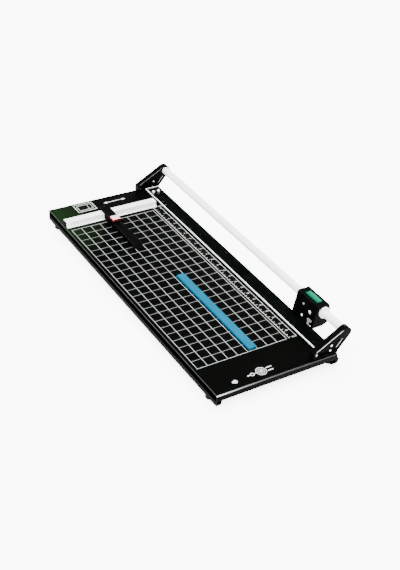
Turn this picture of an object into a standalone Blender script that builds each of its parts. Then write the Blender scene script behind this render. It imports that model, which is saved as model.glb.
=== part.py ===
"""Rotary paper trimmer: an 800 mm base board with a 24 inch cutting length.

A cutter head slides on a round guide rail held by two triangular brackets. Its wheel shears paper
against a steel counter blade on the board's edge, while a sprung clear strip holds the sheet down.
A white scale bar squares the sheet, a paper stop slides along the bar and a magnetic bar lies free.

Lengths are in millimetres in the board frame: its origin is the middle of the printed grid, on the
board's top face, X runs towards the cutting edge, Y towards the scale bar and Z up. BOARD_IN_WORLD
places that frame so that the world's origin is under the middle of the whole object.
"""
import math

import bmesh
import bpy
from mathutils import Matrix, Vector

MM = 0.001
GAP = 0.3                    # clearance between solids that touch

# Board
BOARD_X = (-124.0, 184.3)
BOARD_Y = (-383.5, 402.5)
SHEET = 1.5                  # sheet steel thickness
APRON_DEPTH = 15.5           # folded end faces
RAIL_DEPTH = 26.0            # side rails
RAIL_WIDTH = 24.0
RAIL_WALL = 2.5
RAIL_OUTSET = 0.2            # right rail beyond the panel's edge, and panel beyond the rails' ends
CLIP = 12.0                  # corner clipped off each end of a rail's lower flange
BEAD_REACH = 5.5             # how far the right rail's lower bead stands out
BEAD_TOP = 9.0
BRACE_Y = (-185.0, 200.0)
BRACE_SIZE = (18.0, 12.0)

# Feet
FOOT_RADIUS = 11.0
FOOT_HEIGHT = 8.7
FOOT_INSET = 11.0            # from the rail's outer face to the foot's middle
FOOT_Y = (-345.0, 367.0)

# Guide rail and its brackets
RAIL_X, RAIL_Z = 202.0, 48.5
RAIL_RADIUS = 9.2
BRACKET_THICK = 16.0
BRACKET_NEAR_Y = -379.5      # outer face of the near bracket
BRACKET_FAR_Y = 402.5        # outer face of the far bracket
BRACKET_X = (122.5, 185.3)   # foot of the bracket
BRACKET_HEEL = 17.0          # height of its short vertical edge
BRACKET_TOE = 6.0
BOSS_RADIUS = 12.5
RIM = 3.4                    # rim left round the recessed web
WEB = 4.6
POCKET = 12.0                # depth of the blind hole that takes the rail
BRACKET_SCREWS = ((170.0, 21.0), (168.5, 8.2), (131.5, 7.4))
SCREW_HOLE = 1.9
SET_SCREW = (1.7, 3.0)       # radius and length

# Counter blade
BLADE_THICK = 2.0
BLADE_TOP = 0.6
BLADE_BOTTOM = -8.4
BLADE_SCREWS = 5

# Scale bar
FENCE_X = (-120.4, 131.9)
FENCE_CAP = 1.6
FENCE_Y = (303.0, 327.3)
FENCE_TOP = 14.0
FENCE_LIP = 4.6              # width of the sloping lip along its front

# Clamp strip, its posts and springs
CLAMP_X = (144.0, 181.0)
CLAMP_Y = (-362.0, 384.5)
CLAMP_Z = 5.0                # underside when raised
CLAMP_THICK = 3.0
CLAMP_TRAVEL = 4.0
POST_X = (154.0, 168.6)
POST_Y = (-356.5, 360.0)
POST_RADIUS = 2.4
POST_HEAD = (3.6, 3.0)       # radius and height
SPRING_RADII = (2.9, 4.6)

# Paper stop
STOP_X = (-17.5, 5.0)
STOP_ARM_X = (-15.0, 8.2)
STOP_FRONT, STOP_BACK = 262.5, 334.0
STOP_TOP = 20.5
STOP_SHELF = 15.5            # height of the shelf under the cursor
STOP_ARM_Y = (155.0, 262.2)
STOP_ARM_TOP = 10.0
CURSOR_Y = (264.0, 283.0)
CURSOR_THICK = 5.0

# Magnetic bar
BAR_X = (17.0, 36.5)
BAR_Y = (-290.0, 12.0)
BAR_TOP = 6.0
MAGNET_THICK = 1.2
MAGNET_MARGIN = 2.0

# Cutter head
HEAD_Y = -260.5
HEAD_LENGTH = 75.0
HEAD_TOP, HEAD_BOTTOM = 65.0, 9.6
HEAD_TOP_X = (185.3, 215.5)
HEAD_BOTTOM_X = (179.0, 206.0)
HEAD_CHEEK = (177.0, 14.6)   # lower corner of the sloping left face
HEAD_RIGHT_X = 219.5
COVER_SPLIT_X = 186.2        # plane where the left cover meets the body
BUSH_RADIUS, BUSH_NOSE = 13.5, 5.5
INLAY = (14.6, 43.0, 1.4)
INLAY_X = 201.0
WHEEL_Y, WHEEL_Z = -256.0, 19.5
WHEEL_RADIUS, WHEEL_THICK = 22.5, 1.6
WHEEL_GAP = 0.35             # from the counter blade's outer face
WHEEL_ROOM = WHEEL_RADIUS + 1.5      # radius of the well round it
ROLLER_Y, ROLLER_Z = -281.0, 16.7
ROLLER_RADIUS = 8.4
ROLLER_X = (178.6, 183.8)
WINDOW_WIDTH = 8.0           # of the opening that shows the roller
COVER_SCREWS = ((-252.0, 46.0), (-277.0, 38.0))
COVER_WALL = 1.6
BUSH_SEAT, BUSH_DEPTH = 11.3, 14.0
AXLE_RADIUS = 2.5
AXLE_HEAD = (3.6, 4.7)       # radius and length of its shoulder
AXLE_PROUD = 0.6
PIN_RADIUS = 1.5

BLADE_FACE = BOARD_X[1] + RAIL_OUTSET + GAP + BLADE_THICK      # outer face of the counter blade
WHEEL_X = BLADE_FACE + WHEEL_GAP + WHEEL_THICK / 2
BOARD_IN_WORLD = Vector((
    -(BOARD_X[0] + HEAD_RIGHT_X) / 2,
    -(BOARD_Y[0] + BOARD_Y[1]) / 2,
    RAIL_DEPTH + GAP + FOOT_HEIGHT))

MATERIALS = {                # colour, roughness, metallic
    "painted_steel": ((0.012, 0.013, 0.012), 0.38, 0.0),
    "black_plastic": ((0.010, 0.010, 0.010), 0.45, 0.0),
    "white_enamel": ((0.85, 0.86, 0.85), 0.35, 0.0),
    "chrome": ((0.82, 0.83, 0.84), 0.12, 1.0),
    "blade_steel": ((0.55, 0.56, 0.57), 0.25, 1.0),
    "zinc_screw": ((0.68, 0.68, 0.66), 0.35, 1.0),
    "black_oxide": ((0.02, 0.02, 0.022), 0.40, 1.0),
    "rubber": ((0.014, 0.014, 0.014), 0.85, 0.0),
    "clear_acrylic": ((0.86, 0.90, 0.90), 0.08, 0.0),
    "nylon": ((0.86, 0.86, 0.84), 0.40, 0.0),
    "red_acrylic": ((0.62, 0.03, 0.05), 0.15, 0.0),
    "cyan_plastic": ((0.03, 0.55, 0.90), 0.35, 0.0),
    "green_plastic": ((0.06, 0.72, 0.45), 0.35, 0.0),
    "ferrite": ((0.05, 0.05, 0.05), 0.60, 0.0),
}
AXES = {"X": Matrix.Rotation(math.radians(90), 4, "Y"),
        "Y": Matrix.Rotation(math.radians(-90), 4, "X"),
        "Z": Matrix.Identity(4)}


def clear_scene():
    for item in list(bpy.data.objects):
        bpy.data.objects.remove(item, do_unlink=True)


def make_collection(name):
    collection = bpy.data.collections.new(name)
    bpy.context.scene.collection.children.link(collection)
    return collection


def make_material(name):
    colour, roughness, metallic = MATERIALS[name]
    material = bpy.data.materials.new(name)
    material.use_nodes = True
    material.diffuse_color = (*colour, 1.0)
    shader = material.node_tree.nodes["Principled BSDF"]
    shader.inputs["Base Color"].default_value = (*colour, 1.0)
    shader.inputs["Roughness"].default_value = roughness
    shader.inputs["Metallic"].default_value = metallic
    return material


def empty(name, at, parent=None):
    """An empty at a place in the board frame, which moving pieces are parented to."""
    item = bpy.data.objects.new(name, None)
    PARTS.objects.link(item)
    place(item, at, parent)
    return item


def place(item, at, parent):
    """Put an object at a board-frame place, under its parent, without turning it."""
    here = Vector(at) + BOARD_IN_WORLD
    item["place"] = here
    if parent is not None:
        item.parent = parent
        here = here - Vector(parent["place"])
    item.location = here * MM


def add(name, mesh, at, material, parent=None, bevel=0.0, segments=2):
    """Link a mesh as a named sub-part."""
    item = bpy.data.objects.new(name, mesh)
    PARTS.objects.link(item)
    mesh.materials.append(LOOKS[material])
    place(item, at, parent)
    if bevel:
        rounding = item.modifiers.new("rounding", "BEVEL")
        rounding.width = bevel * MM
        rounding.segments = segments
        rounding.limit_method = "ANGLE"
        rounding.angle_limit = math.radians(40)
    return item


def mesh_from(bm, name):
    mesh = bpy.data.meshes.new(name)
    bm.to_mesh(mesh)
    bm.free()
    return mesh


def box_mesh(name, size):
    bm = bmesh.new()
    bmesh.ops.create_cube(bm, size=MM)
    bmesh.ops.scale(bm, vec=Vector(size), verts=bm.verts)
    return mesh_from(bm, name)


def box(name, lo, hi, material, parent=None, bevel=0.0, segments=2):
    """A block between two corners."""
    lo, hi = Vector(lo), Vector(hi)
    return add(name, box_mesh(name, hi - lo), (lo + hi) / 2, material, parent, bevel, segments)


def cylinder_mesh(name, radius, length, axis, segments=24, tip=None):
    """A cylinder or cone centred on the origin; tip is the radius at the axis's far end."""
    bm = bmesh.new()
    bmesh.ops.create_cone(bm, cap_ends=True, segments=segments, radius1=radius * MM,
                          radius2=(radius if tip is None else tip) * MM, depth=length * MM)
    bmesh.ops.transform(bm, matrix=AXES[axis], verts=bm.verts)
    mesh = mesh_from(bm, name)
    mesh.shade_smooth()
    mesh.set_sharp_from_angle(angle=math.radians(35))
    return mesh


def outline_mesh(name, outline, length, axis):
    """A flat outline carried along an axis, centred on it.

    Along X the outline's two numbers are Y and Z, along Y they are X and Z, along Z they are X, Y.
    """
    curve = bpy.data.curves.new(name, "CURVE")
    curve.dimensions = "2D"
    curve.fill_mode = "BOTH"
    curve.extrude = length / 2 * MM
    spline = curve.splines.new("POLY")
    spline.points.add(len(outline) - 1)
    for point, (u, v) in zip(spline.points, outline):
        point.co = (u * MM, v * MM, 0.0, 1.0)
    spline.use_cyclic_u = True
    holder = bpy.data.objects.new(name, curve)
    bpy.context.scene.collection.objects.link(holder)
    bpy.context.view_layer.update()
    drawn = holder.evaluated_get(bpy.context.evaluated_depsgraph_get())
    mesh = bpy.data.meshes.new_from_object(drawn)
    bpy.data.objects.remove(holder, do_unlink=True)
    turn = {"X": Matrix(((0, 0, 1, 0), (1, 0, 0, 0), (0, 1, 0, 0), (0, 0, 0, 1))),
            "Y": Matrix(((1, 0, 0, 0), (0, 0, -1, 0), (0, 1, 0, 0), (0, 0, 0, 1))),
            "Z": Matrix.Identity(4)}[axis]
    bm = bmesh.new()
    bm.from_mesh(mesh)
    bmesh.ops.remove_doubles(bm, verts=bm.verts, dist=1e-6)
    bmesh.ops.transform(bm, matrix=turn, verts=bm.verts)
    bmesh.ops.recalc_face_normals(bm, faces=bm.faces)
    bm.to_mesh(mesh)
    bm.free()
    mesh.materials.clear()
    return mesh


def turned(name, profile, axis, at, material, parent=None, steps=24, closed=True):
    """A profile of (radius, height) points, down its outer side, turned round an axis."""
    bm = bmesh.new()
    points = [bm.verts.new((radius * MM, 0.0, height * MM)) for radius, height in profile]
    for start, end in zip(points, points[1:] + (points[:1] if closed else [])):
        bm.edges.new((start, end))
    item = add(name, mesh_from(bm, name), at, material, parent)
    item.rotation_euler = AXES[axis].to_euler()
    screw = item.modifiers.new("turning", "SCREW")
    screw.steps = screw.render_steps = steps
    screw.use_merge_vertices = True
    screw.merge_threshold = 0.00005
    screw.use_smooth_shade = False
    return item


def cut(target, mesh, at, operation="DIFFERENCE"):
    """Cut a shape, placed in the board frame, out of a sub-part (or join it on)."""
    cutter = bpy.data.objects.new(f"{target.name}_cutter_{len(CUTTERS.objects)}", mesh)
    CUTTERS.objects.link(cutter)
    cutter.location = (Vector(at) + BOARD_IN_WORLD) * MM
    cutter.hide_render = True
    cutter.display_type = "WIRE"
    boolean = target.modifiers.new("cut", "BOOLEAN")
    boolean.operation = operation
    boolean.solver = "EXACT"
    boolean.object = cutter


def drill(target, centre, axis, radius, length, segments=16, tip=None):
    cut(target, cylinder_mesh("drill", radius, length, axis, segments, tip), centre)


def arc(centre, radius, start, end, steps):
    """Points on an arc, angles in degrees."""
    angles = [math.radians(start + (end - start) * i / steps) for i in range(steps + 1)]
    return [(centre[0] + radius * math.cos(a), centre[1] + radius * math.sin(a)) for a in angles]


def face_back(item, axis):
    """Turn a turned piece round, so that the top of its profile faces against the axis."""
    item.rotation_euler = (AXES[axis] @ Matrix.Rotation(math.pi, 4, "X")).to_euler()


def pan_screw(name, at, axis, sign, head, shank, parent=None):
    """A screw with a domed head: head and shank are (radius, length), sign is where the head faces."""
    (head_radius, head_length), (radius, length) = head, shank
    profile = [(0.0, head_length), (head_radius * 0.72, head_length * 0.92), (head_radius, head_length * 0.4),
               (head_radius, 0.0), (radius, 0.0), (radius, -length), (0.0, -length)]
    item = turned(name, profile, axis, at, "zinc_screw", parent, steps=14, closed=False)
    if sign < 0:
        face_back(item, axis)


def flat_screw(name, at, axis, head, shank):
    """A countersunk screw whose flat face is at the place given and faces along the axis."""
    (head_radius, head_length), (radius, length) = head, shank
    profile = [(0.0, 0.0), (head_radius, 0.0), (radius, -head_length), (radius, -length), (0.0, -length)]
    turned(name, profile, axis, at, "zinc_screw", steps=14, closed=False)


def make_panel():
    """The folded top panel: a sheet with an apron folded down at each end."""
    left, right = BOARD_X
    apron = (left + RAIL_WALL + GAP, right - RAIL_WALL - GAP)
    panel = box("base_panel", (left, BOARD_Y[0], -SHEET), (right, BOARD_Y[1], 0.0), "painted_steel")
    for y, side in ((BOARD_Y[0], 1), (BOARD_Y[1], -1)):
        size = (apron[1] - apron[0], SHEET, APRON_DEPTH - SHEET / 2)
        centre = (sum(apron) / 2, y + side * SHEET / 2, -(APRON_DEPTH + SHEET / 2) / 2)
        cut(panel, box_mesh("apron", size), centre, "UNION")


def make_left_rail(face, top, bottom):
    """A C section, open towards the middle of the board."""
    inside, wall = face + RAIL_WIDTH, RAIL_WALL
    section = [(face, top), (face, bottom), (inside, bottom), (inside, bottom + wall),
               (face + wall, bottom + wall), (face + wall, top - wall), (inside, top - wall), (inside, top)]
    return make_rail("left_rail", section)


def make_right_rail(face, top, bottom):
    """A C section whose outer face carries the counter blade above a rounded bead."""
    inside, wall, radius = face - RAIL_WIDTH, RAIL_WALL, 3.0
    bead = face + BEAD_REACH
    section = [(face, top), (inside, top), (inside, top - wall), (face - wall, top - wall),
               (face - wall, bottom + wall), (inside, bottom + wall), (inside, bottom), (face + 1.0, bottom)]
    section += arc((bead - radius, bottom + 1.5 * radius), radius, -60.0, 0.0, 3)
    section += [(bead, -BEAD_TOP - 1.5 * radius), (face, -BEAD_TOP)]
    return make_rail("right_rail", section)


def make_rail(name, section):
    length = BOARD_Y[1] - BOARD_Y[0] - 2 * RAIL_OUTSET
    return add(name, outline_mesh(name, section, length, "Y"), (0.0, sum(BOARD_Y) / 2, 0.0), "black_plastic")


def trim_rail_ends(rail, inside, side, bottom):
    """Clear the aprons at both ends of a rail and clip its lower flange's corners.

    inside is the X of the flanges' free edges, and side is 1 where they point to +X.
    """
    for end, y in ((-1, BOARD_Y[0]), (1, BOARD_Y[1])):
        size = (RAIL_WIDTH, SHEET + 2 * GAP, APRON_DEPTH + GAP - SHEET)
        centre = (inside - side * (RAIL_WIDTH / 2 - RAIL_WALL - GAP), y - end * (SHEET / 2),
                  -(APRON_DEPTH + GAP + SHEET) / 2)
        cut(rail, box_mesh("apron_notch", size), centre)
        past = 1.0
        clip = [(inside - side * CLIP, y + end * past), (inside + side * past, y + end * past),
                (inside + side * past, y - end * CLIP), (inside, y - end * CLIP), (inside - side * CLIP, y)]
        cut(rail, outline_mesh("corner_clip", clip, 3 * RAIL_WALL, "Z"), (0.0, 0.0, bottom + RAIL_WALL / 2))


def make_brace(name, y, top, reach):
    """A shallow channel across the board, under the panel."""
    depth, height = BRACE_SIZE
    y0, y1, foot = y - depth / 2, y + depth / 2, top - height
    channel = [(y0, top), (y0, foot), (y0 + SHEET, foot), (y0 + SHEET, top - SHEET),
               (y1 - SHEET, top - SHEET), (y1 - SHEET, foot), (y1, foot), (y1, top)]
    add(name, outline_mesh(name, channel, reach[1] - reach[0], "X"), (sum(reach) / 2, 0.0, 0.0),
        "painted_steel")


def make_foot(name, x, y, rail):
    """A rubber foot with a well for the screw that holds it to the rail."""
    top = -RAIL_DEPTH - GAP
    sole, hole = top - FOOT_HEIGHT, 2.0
    well_radius, well_depth = 4.2, 4.4
    seat = sole + well_depth
    profile = [(FOOT_RADIUS - 1.2, top), (FOOT_RADIUS, sole + 2.0), (FOOT_RADIUS - 1.6, sole),
               (well_radius, sole), (well_radius, seat), (hole, seat), (hole, top)]
    turned(name, profile, "Z", (x, y, 0.0), "rubber", steps=24)
    pan_screw(f"{name}_screw", (x, y, seat - GAP), "Z", -1, (3.4, 2.0), (1.6, 6.6))
    drill(rail, (x, y, -RAIL_DEPTH + RAIL_WALL / 2), "Z", SCREW_HOLE, RAIL_WALL * 2)


def make_base():
    """Folded top panel, side rails, braces, feet and their screws."""
    make_panel()
    top, bottom = -SHEET - GAP, -RAIL_DEPTH
    left_face, right_face = BOARD_X[0], BOARD_X[1] + RAIL_OUTSET
    left_rail = make_left_rail(left_face, top, bottom)
    right_rail = make_right_rail(right_face, top, bottom)
    trim_rail_ends(left_rail, left_face + RAIL_WIDTH, 1, bottom)
    trim_rail_ends(right_rail, right_face - RAIL_WIDTH, -1, bottom)
    reach = (left_face + RAIL_WIDTH + GAP, right_face - RAIL_WIDTH - GAP)
    for name, y in zip(("front_brace", "rear_brace"), BRACE_Y):
        make_brace(name, y, top, reach)
    for row, y in zip(("front", "rear"), FOOT_Y):
        make_foot(f"foot_{row}_left", left_face + FOOT_INSET, y, left_rail)
        make_foot(f"foot_{row}_right", right_face - FOOT_INSET, y, right_rail)
    return right_rail


def bracket_outline():
    """The bracket's outline in X and Z, made of its foot, two slopes and the boss round the rail."""
    (x0, x1), radius = BRACKET_X, BOSS_RADIUS
    heel, toe = (x0, BRACKET_HEEL), (x1, BRACKET_TOE)
    upper = tangent_angle(heel, radius, 1)
    lower = tangent_angle(toe, radius, -1)
    return [(x0, GAP), heel] + arc((RAIL_X, RAIL_Z), radius, upper, lower, 14) + [toe, (x1, GAP)]


def tangent_angle(point, radius, side):
    """The angle, seen from the rail's centre, where a line from a point touches the boss."""
    dx, dz = point[0] - RAIL_X, point[1] - RAIL_Z
    away = math.degrees(math.atan2(dz, dx))
    spread = math.degrees(math.acos(radius / math.hypot(dx, dz)))
    angle = away - spread if side > 0 else away + spread
    return angle % 360.0 if side > 0 else angle


def web_window():
    """The outline of the recess inside a bracket's rim, curved round the boss at its inner end."""
    x0, x1 = BRACKET_X[0] + RIM, BRACKET_X[1] - RIM
    heel, toe = (x0, BRACKET_HEEL - 1.2), (x1, BRACKET_TOE + 0.8)
    slope, boss = bracket_outline(), BOSS_RADIUS + 2.0
    upper, lower = inset_end(heel, slope[2], boss), inset_end(toe, slope[-3], boss)
    start, end = (math.degrees(math.atan2(z - RAIL_Z, x - RAIL_X)) % 360.0 for x, z in (upper, lower))
    curve = arc((RAIL_X, RAIL_Z), boss, start, end, 9)
    return [(x0, GAP + RIM), heel] + curve + [toe, (x1, GAP + RIM)]


def make_bracket(name, outer_y, inward):
    """One end bracket: a rim and boss of full thickness round a recessed web.

    inward is 1 where the middle of the board is towards +Y. Returns the Y of the inner face.
    """
    middle = outer_y + inward * BRACKET_THICK / 2
    inner_face = outer_y + inward * BRACKET_THICK
    bracket = add(name, outline_mesh(name, bracket_outline(), BRACKET_THICK, "Y"),
                  (0.0, middle, 0.0), "black_plastic")
    for face in (outer_y, inner_face):
        cut(bracket, outline_mesh("recess", web_window(), BRACKET_THICK - WEB, "Y"), (0.0, face, 0.0))
    drill(bracket, (RAIL_X, inner_face, RAIL_Z), "Y", RAIL_RADIUS + GAP, POCKET * 2, 32)
    head_y = middle - inward * (WEB / 2 + GAP)
    for number, (x, z) in enumerate(BRACKET_SCREWS, 1):
        drill(bracket, (x, middle, z), "Y", SCREW_HOLE, WEB * 2, 12)
        pan_screw(f"{name}_screw_{number}", (x, head_y, z), "Y", -inward, (2.8, 2.2), (1.6, WEB + 3.0))
    seat_y, apex = middle + inward * 1.5, RAIL_Z + BOSS_RADIUS
    drill(bracket, (RAIL_X, seat_y, apex), "Z", SET_SCREW[0] + GAP, 8.0, 12)
    plug = [(0.0, 0.0), (SET_SCREW[0], 0.0), (SET_SCREW[0], -SET_SCREW[1]), (0.0, -SET_SCREW[1])]
    turned(f"{name}_set_screw", plug, "Z", (RAIL_X, seat_y, apex - 0.1), "black_oxide", steps=12,
           closed=False)
    return inner_face


def inset_end(corner, tangent, boss):
    """Where a line that starts in a web corner, parallel to the rim's edge, meets the boss."""
    dx, dz = tangent[0] - RAIL_X, tangent[1] - RAIL_Z
    size = math.hypot(dx, dz)
    along = Vector((-dz / size, dx / size))
    start = Vector(corner) - Vector((RAIL_X, RAIL_Z))
    reach = start.dot(along)
    closest = start - along * reach
    half = math.sqrt(max(boss ** 2 - closest.length_squared, 0.0))
    point = closest + along * math.copysign(half, reach)
    return (point.x + RAIL_X, point.y + RAIL_Z)


def make_rail_and_brackets():
    """Both brackets and the guide rail between them. Returns the Y of the brackets' inner faces."""
    near_inner = make_bracket("near_bracket", BRACKET_NEAR_Y, 1)
    far_inner = make_bracket("far_bracket", BRACKET_FAR_Y, -1)
    depth = POCKET - 0.5
    y0, y1 = near_inner - depth, far_inner + depth
    add("guide_rail", cylinder_mesh("guide_rail", RAIL_RADIUS, y1 - y0, "Y", 40),
        (RAIL_X, (y0 + y1) / 2, RAIL_Z), "chrome")
    return near_inner, far_inner


def make_counter_blade(right_rail, near_inner, far_inner):
    """The fixed steel blade on the outer face of the right rail, with flush screws."""
    face, end_gap, first_screw = BLADE_FACE, 1.0, 30.0
    y0, y1 = near_inner + end_gap, far_inner - end_gap
    blade = box("counter_blade", (face - BLADE_THICK, y0, BLADE_BOTTOM), (face, y1, BLADE_TOP),
                "blade_steel")
    head, shank = (2.9, 1.6), (1.3, 4.4)
    head_x = face - 0.1
    mouth, sink = shank[0] + 0.35, 2 * head[1]
    z = (BLADE_BOTTOM + BLADE_TOP) / 2 - 0.6
    for number in range(BLADE_SCREWS):
        y = y0 + first_screw + (y1 - y0 - 2 * first_screw) * number / (BLADE_SCREWS - 1)
        flat_screw(f"blade_screw_{number + 1}", (head_x, y, z), "X", head, shank)
        drill(blade, (face - BLADE_THICK / 2, y, z), "X", shank[0] + GAP, BLADE_THICK * 2, 14)
        drill(blade, (head_x, y, z), "X", mouth, sink, 14, tip=mouth + sink)
        drill(right_rail, (face - BLADE_THICK - GAP - RAIL_WALL / 2, y, z), "X", shank[0] + GAP,
              RAIL_WALL * 2, 14)


def make_fence():
    """The white scale bar across the far end of the board, with dark end caps."""
    y0, y1 = FENCE_Y
    section = [(y0, GAP), (y0, 1.2), (y0 + FENCE_LIP, 3.2), (y0 + 6.4, FENCE_TOP - 0.9),
               (y0 + 7.3, FENCE_TOP), (y1 - 0.8, FENCE_TOP), (y1, FENCE_TOP - 0.8), (y1, GAP)]
    x0, x1 = FENCE_X
    add("scale_bar", outline_mesh("scale_bar", section, x1 - x0, "X"), ((x0 + x1) / 2, 0.0, 0.0),
        "white_enamel")
    for name, x, side in (("scale_bar_left_cap", x0, -1), ("scale_bar_right_cap", x1, 1)):
        centre = x + side * (GAP + FENCE_CAP / 2)
        add(name, outline_mesh(name, section, FENCE_CAP, "X"), (centre, 0.0, 0.0), "black_plastic")


def make_clamp(parent):
    """The clear hold-down strip, four white posts and the conical springs that lift it."""
    strip = box("clamp_strip", (CLAMP_X[0], CLAMP_Y[0], CLAMP_Z),
                (CLAMP_X[1], CLAMP_Y[1], CLAMP_Z + CLAMP_THICK), "clear_acrylic", parent)
    head_radius, head_height = POST_HEAD
    top = CLAMP_Z + CLAMP_THICK + GAP
    for row, y in zip(("near", "far"), POST_Y):
        for side, x in zip(("inner", "outer"), POST_X):
            drill(strip, (x, y, CLAMP_Z), "Z", POST_RADIUS + 0.4, CLAMP_THICK * 4, 16)
            profile = [(0.0, top + head_height), (head_radius - 0.8, top + head_height),
                       (head_radius, top + head_height - 0.8), (head_radius, top), (POST_RADIUS, top),
                       (POST_RADIUS, GAP), (0.0, GAP)]
            turned(f"clamp_post_{row}_{side}", profile, "Z", (x, y, 0.0), "nylon", steps=16, closed=False)
            inner, outer = SPRING_RADII
            coil = [(inner + 0.8, CLAMP_Z - GAP), (outer, GAP + 0.1), (outer - 0.8, GAP + 0.1),
                    (inner, CLAMP_Z - GAP)]
            turned(f"clamp_spring_{row}_{side}", coil, "Z", (x, y, 0.0), "zinc_screw", steps=16)


def make_paper_stop(parent):
    """A saddle over the scale bar, the arm that reaches over the grid, and the red cursor."""
    y0, y1 = FENCE_Y
    play = 0.45
    x0, x1 = STOP_X
    section = [(STOP_FRONT, 0.7), (STOP_FRONT, STOP_SHELF), (CURSOR_Y[1] + GAP, STOP_SHELF),
               (CURSOR_Y[1] + GAP, STOP_TOP - 1.0), (CURSOR_Y[1] + GAP + 1.0, STOP_TOP),
               (STOP_BACK - 1.5, STOP_TOP), (STOP_BACK, STOP_TOP - 1.5), (STOP_BACK, 0.7),
               (y1 + play, 0.7), (y1 + play, FENCE_TOP + play), (y0 + 7.3 - play, FENCE_TOP + play),
               (y0 + 5.8 - play, FENCE_TOP - 0.9), (y0 + FENCE_LIP - play, 3.2 + play),
               (y0 - play, 1.2 + play), (y0 - play, 0.7)]
    saddle = add("stop_saddle", outline_mesh("stop_saddle", section, x1 - x0, "X"),
                 ((x0 + x1) / 2, 0.0, 0.0), "black_plastic", parent)
    arm_y0, arm_y1 = STOP_ARM_Y
    toe = 9.0
    side = [(arm_y0, 0.7), (arm_y0, 2.6), (arm_y0 + toe * 0.4, 6.8), (arm_y0 + toe, STOP_ARM_TOP - 0.6),
            (arm_y0 + toe + 4.0, STOP_ARM_TOP), (arm_y1, STOP_ARM_TOP), (arm_y1, 0.7)]
    ax0, ax1 = STOP_ARM_X
    arm = add("stop_arm", outline_mesh("stop_arm", side, ax1 - ax0, "X"), ((ax0 + ax1) / 2, 0.0, 0.0),
              "black_plastic", parent)
    box("stop_cursor", (x0 + 1.7, CURSOR_Y[0], STOP_SHELF + GAP),
        (x1, CURSOR_Y[1], STOP_SHELF + GAP + CURSOR_THICK), "red_acrylic", parent, bevel=0.8)
    x, z = (x0 + x1) / 2, 5.2
    pan_screw("stop_screw", (x, arm_y1 - 14.0, z), "Y", -1, (2.6, 2.0), (1.4, 24.0), parent=parent)
    drill(arm, (x, arm_y1 - 8.0, z), "Y", 1.4 + GAP, 24.0, 12)
    drill(arm, (x, arm_y1 - 17.0, z), "Y", 2.6 + GAP, 6.0 + 2 * GAP, 12)
    drill(saddle, (x, STOP_FRONT + 5.0, z), "Y", 1.4 + GAP, 12.0, 12)


def make_magnetic_bar(parent):
    """A loose bar that holds the sheet, with a magnet strip let into its underside."""
    (x0, x1), (y0, y1) = BAR_X, BAR_Y
    far, near = 3.0, 1.5         # corner radii
    outline = (arc((x1 - far, y1 - far), far, 0.0, 90.0, 3) + arc((x0 + far, y1 - far), far, 90.0, 180.0, 3)
               + arc((x0 + near, y0 + near), near, 180.0, 270.0, 2)
               + arc((x1 - near, y0 + near), near, 270.0, 360.0, 2))
    height = BAR_TOP - GAP
    bar = add("magnetic_bar", outline_mesh("magnetic_bar", outline, height, "Z"),
              (0.0, 0.0, GAP + height / 2), "cyan_plastic", parent, bevel=0.9, segments=2)
    m = MAGNET_MARGIN
    size = (x1 - x0 - 2 * m + 2 * GAP, y1 - y0 - 4 * m + 2 * GAP, 2 * MAGNET_THICK + 2 * GAP)
    centre = ((x0 + x1) / 2, (y0 + y1) / 2)
    cut(bar, box_mesh("magnet_slot", size), (*centre, GAP))
    box("bar_magnet", (x0 + m, y0 + 2 * m, GAP), (x1 - m, y1 - 2 * m, GAP + MAGNET_THICK), "ferrite", parent)


def head_outline():
    """The cutter head's outline in X and Z."""
    return [HEAD_CHEEK, (HEAD_TOP_X[0], HEAD_TOP), (HEAD_TOP_X[1], HEAD_TOP),
            (HEAD_RIGHT_X, HEAD_TOP - 12.0), (HEAD_RIGHT_X, HEAD_BOTTOM + 7.0),
            (HEAD_BOTTOM_X[1], HEAD_BOTTOM), (HEAD_BOTTOM_X[0], HEAD_BOTTOM)]


def cheek_x(z):
    """X of the sloping left face at a height."""
    (x0, z0), (x1, z1) = HEAD_CHEEK, (HEAD_TOP_X[0], HEAD_TOP)
    return x0 + (x1 - x0) * (z - z0) / (z1 - z0)


def make_head_body(parent):
    """The right-hand shell, which holds the bushes, the axle's end and the inlay."""
    outline, split = head_outline(), COVER_SPLIT_X
    section = [(split, HEAD_BOTTOM), (split, HEAD_TOP)] + outline[2:6]
    body = add("head_body", outline_mesh("head_body", section, HEAD_LENGTH, "Y"), (0.0, HEAD_Y, 0.0),
               "black_plastic", parent)
    drill(body, (RAIL_X, HEAD_Y, RAIL_Z), "Y", RAIL_RADIUS + 1.0, HEAD_LENGTH + 4.0, 32)
    for side in (-1, 1):
        face = HEAD_Y + side * HEAD_LENGTH / 2
        drill(body, (RAIL_X, face, RAIL_Z), "Y", BUSH_SEAT + GAP, 2 * BUSH_DEPTH, 32)
    well = (split - 1.0, WHEEL_X + WHEEL_THICK / 2 + 1.0)
    drill(body, (sum(well) / 2, WHEEL_Y, WHEEL_Z), "X", WHEEL_ROOM, well[1] - well[0], 32)
    drill(body, (well[1] + 5.0, WHEEL_Y, WHEEL_Z), "X", AXLE_RADIUS + GAP, 14.0)
    drill(body, (split + 3.0, ROLLER_Y, ROLLER_Z), "X", PIN_RADIUS + GAP, 8.0, 16)
    for y, z in COVER_SCREWS:
        drill(body, (split + 3.0, y, z), "X", PIN_RADIUS + GAP, 8.0, 12)
    return body


def make_inlay(parent, body):
    """The green plate let into the head's top, proud of it."""
    (size_x, size_y, thick), proud = INLAY, 0.4
    pocket = box_mesh("inlay_pocket", (size_x + 2 * GAP, size_y + 2 * GAP, 2 * (thick - proud + GAP)))
    cut(body, pocket, (INLAY_X, HEAD_Y, HEAD_TOP))
    box("head_inlay", (INLAY_X - size_x / 2, HEAD_Y - size_y / 2, HEAD_TOP - thick + proud),
        (INLAY_X + size_x / 2, HEAD_Y + size_y / 2, HEAD_TOP + proud), "green_plastic", parent, bevel=0.35)


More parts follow.
